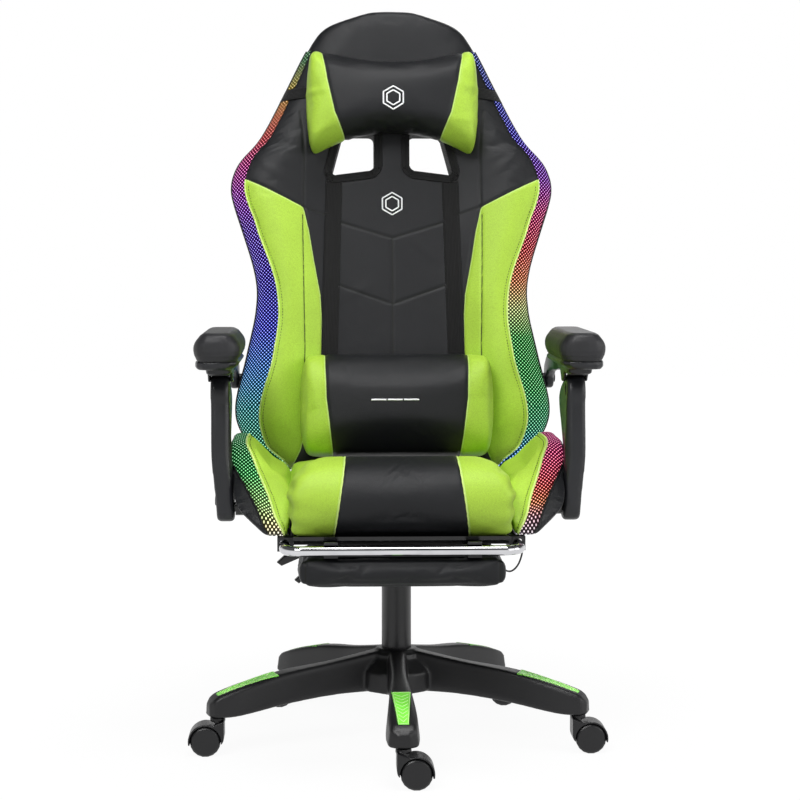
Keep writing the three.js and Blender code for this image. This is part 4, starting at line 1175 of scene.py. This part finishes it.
def make_seat_cushion():
    obj = softened("seat_cushion_cover", copy_of("seat_cushion"), 4.0, 4)
    blow_up(obj, 3.0, 5.0)
    fit(obj, "seat_cushion", 1.0)
    refine(obj)
    # its lower corners are boxed out and stand a little lower than its middle, and its rear reaches under
    # the lumbar pillow
    p = coords(obj) / MM
    for point in p:
        low = 1 - smooth(392, 424, point[2])
        point[2] -= 4.0 * low
        edge = smooth(110, 174, abs(point[0]))
        high = smooth(450, 508, point[2]) * (1 - smooth(-150, -40, point[1]))
        rear = smooth(-160, -70, point[1])
        step = smooth(140, 174, abs(point[0])) * (mix(3, 7, low) + 5 * rear) - 15 * edge * high
        point[0] += math.copysign(1, point[0]) * step
        point[2] -= 5 * edge * high
        point[1] += 20 * smooth(30, 116, point[1])
    set_coords(obj, p * MM)
    off = np.abs(p[:, 0]) - np.array([seat_edge(z) for z in p[:, 2]])
    attribute(obj, "panel", off)
    # the front roll is sewn on across the seat
    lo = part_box("seat_cushion")[0]
    across = np.where(p[:, 2] > 430, p[:, 1] - (lo.y / MM + FRONT_ROLL), FAR)
    groove(obj, np.abs(off), 1.6, 2.6)
    groove(obj, across, 3.0, 6.0)
    push = np.zeros(len(p))
    for x, y, z, width, length, depth in ROLL_CREASES:
        for side in (1, -1):
            near = np.exp(-((p[:, 0] * side - x) / 26) ** 2 - ((p[:, 1] - y) / length) ** 2)
            push += depth * near * np.cos((p[:, 2] - z) / width * 2)
    set_coords(obj, coords(obj) - normals(obj) * (push * MM)[:, None])
    attribute(obj, "seam", np.minimum(np.abs(off), np.abs(across)))
    return upholster(obj, two_tone_leather, "seat", "seat_cushion", "black_leather")


def make_seat_piping(cushion):
    """light piping down the front of the seat on both seams, and along the foot of the green ends"""
    tree = tree_of(cushion)
    heart = Vector((0, -175, 445)) * MM
    lines = []
    for side in (1, -1):
        seam = []
        for angle in np.linspace(math.radians(-62), math.radians(94), 90):
            way = Vector((0, -math.cos(angle), math.sin(angle)))
            x = seat_edge(445 + math.sin(angle) * 60)
            for _ in range(2):
                hit, normal, _, _ = tree.ray_cast(heart + Vector((side * x * MM, 0, 0)), way)
                x = seat_edge(hit.z / MM)
            seam.append(hit + normal * 0.8 * MM)
        lines.append(seam)
        foot = []
        for x in np.linspace(seat_edge(392), 166, 40):
            hit, normal, _, _ = tree.ray_cast(heart + Vector((side * x * MM, 0, 0)),
                                              Vector((0, -math.cos(0.72), -math.sin(0.72))))
            foot.append(hit + normal * 0.5 * MM)
        lines.append(foot)
    cord_mesh("seat_piping", lines, 1.1, green_piping, "seat", "green_leather")


# both edges of the net on the seat's left wing, from the rear of its top to its front foot
STRIP_INNER = [(250, 88, 518), (252, 10, 518), (250, -50, 514), (240, -84, 493), (226, -128, 465),
               (211, -172, 437), (200, -211, 412), (189, -228, 394), (181, -231, 383)]
STRIP_OUTER = [(279, 88, 516), (281, 10, 516), (283, -50, 514), (279, -81, 494), (263, -119, 470),
               (244, -163, 442), (230, -197, 421), (218, -228, 394), (213, -231, 383)]


def wing_stretch(p):
    """moves a wing's points in mm, on the sitter's left: the top leans out, the outer wall bulges and the
    foot reaches down"""
    x, z = p[:, 0], p[:, 2]
    outer = np.clip((x - 200) / 60, 0, 1)
    top = np.array([smooth(455, 476, level) for level in z])
    wall = np.array([smooth(403, 425, level) for level in z])
    inner = np.array([smooth(180, 205, reach) for reach in x])
    step = np.maximum(11 * top * inner, 6 * outer * wall) - 4 * (1 - inner) * wall
    return np.stack([x + step, p[:, 1], z - 6 * np.clip((430 - z) / 47, 0, 1)], axis=1)


def make_wings():
    for side, word in SIDES:
        obj = softened(f"seat_wing_{word}", copy_of(f"seat_side_{word}", f"seat_light_band_{word}"), 3.0, 3)
        set_coords(obj, wing_stretch(coords(obj) / MM * (side, 1, 1)) * (side, 1, 1) * MM)
        blow_up(obj, 2.0, 1.5)
        refine(obj)
        p = coords(obj) / MM * (side, 1, 1)
        inner = from_polyline(p[:, [0, 2]], [[(250, 560)] + [(x, z) for x, _, z in STRIP_INNER]])
        panel = np.where(normals(obj)[:, 0] * side > 0.8, -20.0, -inner)
        groove(obj, np.abs(inner + 7), 1.0, 2.2, mask=p[:, 1] < 40)
        attribute(obj, "panel", panel)
        attribute(obj, "seam", np.full(len(p), FAR))
        upholster(obj, two_tone_leather, "seat", f"seat_side_{word}", "green_leather")
        make_wing_lights(tree_of(obj), side, word)


# the strip's net is stretched along the wing by the reciprocal of this
SLANT = 0.62


def make_wing_lights(tree, side, word):
    lines = (STRIP_INNER, STRIP_OUTER)
    inner, outer = ([Vector((x * side, y, z)) * MM for x, y, z in line] for line in lines)
    last = len(inner) - 1
    reach = [0.0]
    for a, b in zip(inner[:-1], inner[1:]):
        reach.append(reach[-1] + (b - a).length / MM)

    def place(u, v):
        a, b = spline_at(inner, v * last), spline_at(outer, v * last)
        proud = 0.4 + 2.2 * math.sin(math.pi * u) ** 0.5
        run = float(np.interp(v * last, range(last + 1), reach))
        spot = lay_on(tree, a.lerp(b, u), proud)
        return spot, Vector((spot.x / MM, run * SLANT, u))
    colours = RIGHT_SEAT if side > 0 else LEFT_SEAT
    finish = lit_net(f"net over lights, seat {word}", 377, 522, colours)
    obj = object_of(f"seat_lights_{word}", thick(patch(14, 110, place), 1.2), finish)
    refine(obj)
    put(obj, "seat", f"seat_light_band_{word}", slot="light_mesh")

    def edge(line, proud):
        return [lay_on(tree, spline_at(line, k / 12), proud) for k in range(12 * last + 1)]
    cord_mesh(f"wing_green_piping_{word}", [edge(inner, 1.0)], 2.0, green_piping, "seat", "green_leather")
    cord_mesh(f"wing_black_piping_{word}", [edge(outer, 0.6)], 1.6, black_piping, "seat", "black_leather")
    margin = [p - Vector((side * 7.5 * MM, 0, 0)) for p in inner]
    run = [lay_on(tree, p * MM, 0.3) for p in dense([p / MM for p in margin], 0.9)]
    cord_mesh(f"wing_stitches_{word}", stitches(run), 0.5, thread, "seat", "webbing", sides=1)


def make_arm_pads():
    """moulded skin over foam: widest a little below its middle, drawn in above and below"""
    for _, word in SIDES:
        obj = softened(f"arm_cushion_{word}", copy_of(f"arm_pad_{word}"), 2.7, 2)
        lo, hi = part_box(f"arm_pad_{word}")
        middle = (lo.x + hi.x) / 2
        points = coords(obj)
        for p in points:
            rise = (p[2] - lo.z) / (hi.z - lo.z)
            width = mix(0.97, 1.02, smooth(0.0, 0.45, rise)) * mix(1.0, 0.78, smooth(0.5, 1.0, rise))
            p[0] = middle + (p[0] - middle) * width
            p[2] = mix(lo.z - 0.007, hi.z - 0.005, rise)
        set_coords(obj, points)
        for level in (0.05, 0.17):
            groove(obj, np.abs(points[:, 2] - mix(lo.z, hi.z, level)) / MM, 0.9, 1.3)
        refine(obj)
        upholster(obj, soft_black, f"arm_pad_{word}", f"arm_pad_{word}", "arm_cover")


def make_pad_frame(word, side):
    """the tray under an arm cushion, as wide as the cushion's foot, over a short bracket round the post"""
    lo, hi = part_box(f"arm_pad_{word}")
    middle = (lo.x + hi.x) / 2

    def move(p):
        y, z = p[1] / MM, p[2] / MM
        front = 1 - smooth(30, 66, y)
        p[0] = mix(p[0], middle + (p[0] - middle) * 1.10, smooth(642, 656, z))
        if z < 633:
            p[2] = (633 - (633 - z) * mix(1.0, 0.35, front)) * MM
        p[0] += side * 5.0 * MM * front * (1 - smooth(640, 655, z))
    moulding(f"arm_pad_frame_moulding_{word}", f"arm_pad_frame_{word}", arm_plastic, 1.8, 2, move,
             "trim_plastic")


def make_foot_pad():
    obj = softened("foot_cushion", copy_of("footrest_pad"), 3.8, 6)
    blow_up(obj, 2.5, 4.0)
    fit(obj, "footrest_pad", 1.0)
    refine(obj)
    p = coords(obj) / MM
    seam = np.abs(np.abs(p[:, 0]) - 152)
    groove(obj, seam, 1.6, 3.0)
    attribute(obj, "seam", seam)
    upholster(obj, black_leather, "footrest_board", "footrest_pad", "black_leather")


# ---------------------------------------------------------------- light lead
LEAD = [(197, -196, 382.7), (197, -196, 372), (196.1, -193, 352), (191.5, -182, 331), (184.1, -165, 317),
        (176.8, -140, 311), (168.5, -112, 314), (161.6, -84, 325), (156.1, -58, 340), (152.8, -38, 353),
        (151, -28, 357), (151, -20.3, 357)]


def make_lead():
    points = [p * MM for p in dense(LEAD, 9)]
    obj = cord_curve("light_wire", [points], 1.5, 4)
    obj.data.materials.append(cable_jacket)
    put(obj, "seat", "light_lead", slot="lead_jacket")
    length = sum((b - a).length for a, b in zip(points[:-1], points[1:]))
    tuple(points[0])


make_lead()


# ---------------------------------------------------------------- turned and bent steel
def make_column():
    lo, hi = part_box("stand_tube")
    low, top = lo.z / MM, hi.z / MM
    # (radius, height) in mm, spun about the chair's axis
    profile = [(14.5, low), (24, low), (25, low + 1), (25, top - 7), (25.8, top - 6), (25.8, top - 1.2),
               (24.6, top), (14.5, top), (14.5, low)]
    bm = bmesh.new()
    spots = [bm.verts.new((r * MM, 0, z * MM)) for r, z in profile]
    edges = [bm.edges.new(pair) for pair in zip(spots[:-1], spots[1:])]
    bmesh.ops.spin(bm, geom=spots + edges, cent=(0, 0, 0), axis=(0, 0, 1), angle=2 * math.pi, steps=64,
                   use_merge=True)
    bmesh.ops.remove_doubles(bm, verts=bm.verts[:], dist=1e-6)
    turn_out(bm)
    obj = object_of("stand_tube_turned", bm, coated_steel)
    obj.data.set_sharp_from_angle(angle=math.radians(40))
    put(obj, "base", "stand_tube", slot="black_steel")


def make_slide_frame():
    bend, x, y, z, rear = 26, 185, -290, 368.5, 112
    corner = [(x - bend * (1 - math.cos(a)), y + bend * (1 - math.sin(a)), z)
              for a in np.linspace(0, math.pi / 2, 9)]
    half = [(x, rear, z)] + corner
    line = half + [(-px, py, pz) for px, py, pz in reversed(half)]
    tube = [Vector(p) * MM for p in line]
    cord_mesh("slide_frame_tube", [tube], 8, chrome, "footrest_frame", "chrome_tube", "footrest_frame", sides=8)


# ---------------------------------------------------------------- five-star base
LEG_END, HUB_RADIUS = 332, 42
leg_plan = curve_through([(0, 20), (115, 16), (200, 22), (280, 28), (318, 26), (333, 22)])
leg_crown = curve_through([(30, 158), (115, 143), (214, 129), (318, 100), (332, 86)])
leg_soffit = curve_through([(30, 88), (115, 86), (200, 78), (288, 65), (332, 65)])


# how wide a leg's top is against its foot, and the power that squares its section
LEG_TAPER, LEG_CORNER = 0.80, 0.3


def leg_bar(angle, start, end, inset, low, high, tip=4.0):
    """a bar along a leg. low and high give its bottom and top at a radius, tip is how far it is rounded"""
    turn = Matrix.Rotation(math.radians(angle), 4, "Z")

    def place(k, i):
        r = mix(start, end, k / 40)
        close = 1 - 0.45 * smooth(end - tip, end, r) ** 2
        a = 2 * math.pi * i / 40
        across = signed_power(math.cos(a), LEG_CORNER)
        up = (1 + signed_power(math.sin(a), LEG_CORNER)) / 2
        half = (leg_plan(r) - inset) * mix(1, LEG_TAPER, up) * close
        return turn @ (Vector((r, across * half, mix(low(r), high(r), up))) * MM)
    return lofted(40, 40, place)


def merged(forms):
    whole = bmesh.new()
    for form in forms:
        mesh = bpy.data.meshes.new("form")
        form.to_mesh(mesh)
        form.free()
        whole.from_mesh(mesh)
        bpy.data.meshes.remove(mesh)
    return whole


def upright_bar(radius, low, high, bottom=None):
    bm = bmesh.new()
    bmesh.ops.create_cone(bm, cap_ends=True, segments=64, radius1=(bottom or radius) * MM,
                          radius2=radius * MM, depth=(high - low) * MM)
    bmesh.ops.translate(bm, verts=bm.verts[:], vec=(0, 0, (low + high) / 2 * MM))
    return bm


def make_star_base():
    angles = [-90 + 72 * k for k in range(5)]
    legs = [leg_bar(a, 20, LEG_END, 0, leg_soffit, leg_crown) for a in angles]
    webs = [leg_bar(a + 36, 10, 64, -8, lambda r: 90, lambda r: 146 - max(0, r - 40)) for a in angles]
    hub = [upright_bar(HUB_RADIUS - 1, 84, 152, bottom=HUB_RADIUS), upright_bar(33, 148, 160, bottom=40)]
    obj = softened("star_base_moulding", merged(legs + webs + hub), 2.4, 3, nylon)
    cells = [(50, 118), (124, 196), (202, 290)]
    pockets = [leg_bar(a, start, end, 4, lambda r: leg_soffit(r) - 12, lambda r: leg_crown(r) - 8, tip=1)
               for a in angles for start, end in cells]
    cut(obj, merged(pockets + [upright_bar(25.4, 60, 180)]))
    seats = copy_of(*(f"leg_insert_{number}" for number in LEG_NUMBERS))
    turn_out(seats)
    seats.normal_update()
    for v in seats.verts:
        v.co += v.normal * 0.5 * MM
    cut(obj, seats)
    obj.data.set_sharp_from_angle(angle=math.radians(48))
    return put(obj, "base", "star_base", slot="base_plastic")


def make_insert_ribs(number):
    """raised rim and arrow-shaped ribs on the green insert of a leg"""
    node = frame["nodes"][f"leg_insert_{number}"]
    tree = tree_of(node)
    turn = Matrix.Rotation(math.radians(-90 + 72 * (number - 1)), 4, "Z")

    def half(r):
        return mix(15.5, 8.5, (r - 214) / 102) - 1.3

    def on_top(r, across):
        hit = tree.ray_cast(turn @ Vector((r * MM, across * MM, 0.3)), Vector((0, 0, -1)))[0]
        return hit + Vector((0, 0, 0.1 * MM))
    lines = []
    for r in range(226, 312, 11):
        reach = half(r) - 2
        lines.append([on_top(r + 6 - 9 * abs(k) / 6, k / 6 * reach) for k in range(-6, 7)])
    rim = ([on_top(r, half(r)) for r in np.linspace(216, 314, 30)] +
           [on_top(r, -half(r)) for r in np.linspace(314, 216, 30)])
    cord_mesh(f"insert_ribs_{number}", lines + [rim + rim[:1]], 0.7, pale_green_plastic, "base", "base_inlay",
              sides=1)


# ---------------------------------------------------------------- arms
def make_arm_post(word, side):
    def move(p):
        z = p[2] / MM
        swell = mix(0.45, 1.0, smooth(420, 520, z)) * (1 - smooth(640, 660, z))
        outer = min(1, max(0, (abs(p[0]) / MM - 270) / 24))
        p[0] += side * mix(1.0, 5.5, outer) * MM * swell
    moulding(f"arm_post_moulding_{word}", f"arm_post_{word}", arm_plastic, 2.0, 8, move, "trim_plastic")


# how far out in mm the lever's blade begins, and how far it is moved in and its tip down
BLADE_FROM, BLADE_SHIFT = 300, 10


def make_lever():
    """the recline lever, a flat blade that stays behind the arm and whose tip droops a little"""
    bm = copy_of("recline_lever")
    for v in bm.verts:
        if abs(v.co.x) > BLADE_FROM * MM:
            v.co.x += math.copysign(BLADE_SHIFT * MM, -v.co.x)
            v.co.z -= BLADE_SHIFT * MM * (1 - smooth(75 * MM, 140 * MM, v.co.y))
    obj = object_of("recline_lever_blade", bm, arm_plastic)
    edge = obj.modifiers.new("edges", "BEVEL")
    edge.width = 1.2 * MM
    edge.segments = 2
    edge.limit_method = "ANGLE"
    return put(obj, body_of("recline_lever"), "recline_lever", slot="trim_plastic")


# ---------------------------------------------------------------- all pieces
back_cover = make_back_cover()
back_tree = tree_of(back_cover)
make_back_bands(back_tree)
make_back_piping(back_tree)
make_trims(back_tree)
make_belts(back_tree)
make_pillow_strap(back_tree)
head_cover = make_pillow(back_tree, "head_pillow", HEAD_FORM, 3.5, HEAD_SEAM, HEAD_CREASES, 1.0)
lumbar_cover = make_pillow(back_tree, "lumbar_pillow", LUMBAR_FORM, 1.5, LUMBAR_SEAM, LUMBAR_CREASES, 2.0,
                           shift=5, centre=4.0)
embroidery("head_motif", head_cover, hexagon(0, 672, 20) + hexagon(0, 672, 13), 2.6)
embroidery("back_motif", back_cover, hexagon(0, 500, 20) + hexagon(0, 500, 13), 2.6)
embroidery("lumbar_motif", lumbar_cover, [[(-41 + 28 * k, 142), (-28 + 28 * k, 142), (-15 + 28 * k, 142)]
                                          for k in range(3)], 3.2)
make_seat_piping(make_seat_cushion())
make_wings()
make_arm_pads()
make_foot_pad()
make_column()
make_slide_frame()
make_star_base()
for number in LEG_NUMBERS:
    machined(f"leg_insert_{number}", green_plastic, 0.5)
    make_insert_ribs(number)
    moulding(f"caster_housing_{number}_moulding", f"caster_housing_{number}", wheel_plastic, 1.3, 3)
    machined(f"caster_wheels_{number}", wheel_plastic, 1.2)
for side, word in SIDES:
    make_arm_post(word, side)
    make_pad_frame(word, side)
    machined(f"seat_hinge_plate_{word}", coated_steel)
    machined(f"hinge_cover_{word}", arm_plastic, 2.0)
    machined(f"footrest_guide_{word}", coated_steel)
for node in ("seat_plate", "seat_frame", "mechanism_housing", "height_lever", "tilt_lever", "back_frame"):
    machined(node, lacquered_steel if node == "seat_frame" else coated_steel)
machined("gas_cylinder", coated_steel)
machined("piston_rod", ground_steel, 0.4)
machined("tension_knob", arm_plastic, 1.0)
make_lever()
machined("light_control_box", arm_plastic, 0.8)
machined("footrest_hinge", coated_steel)
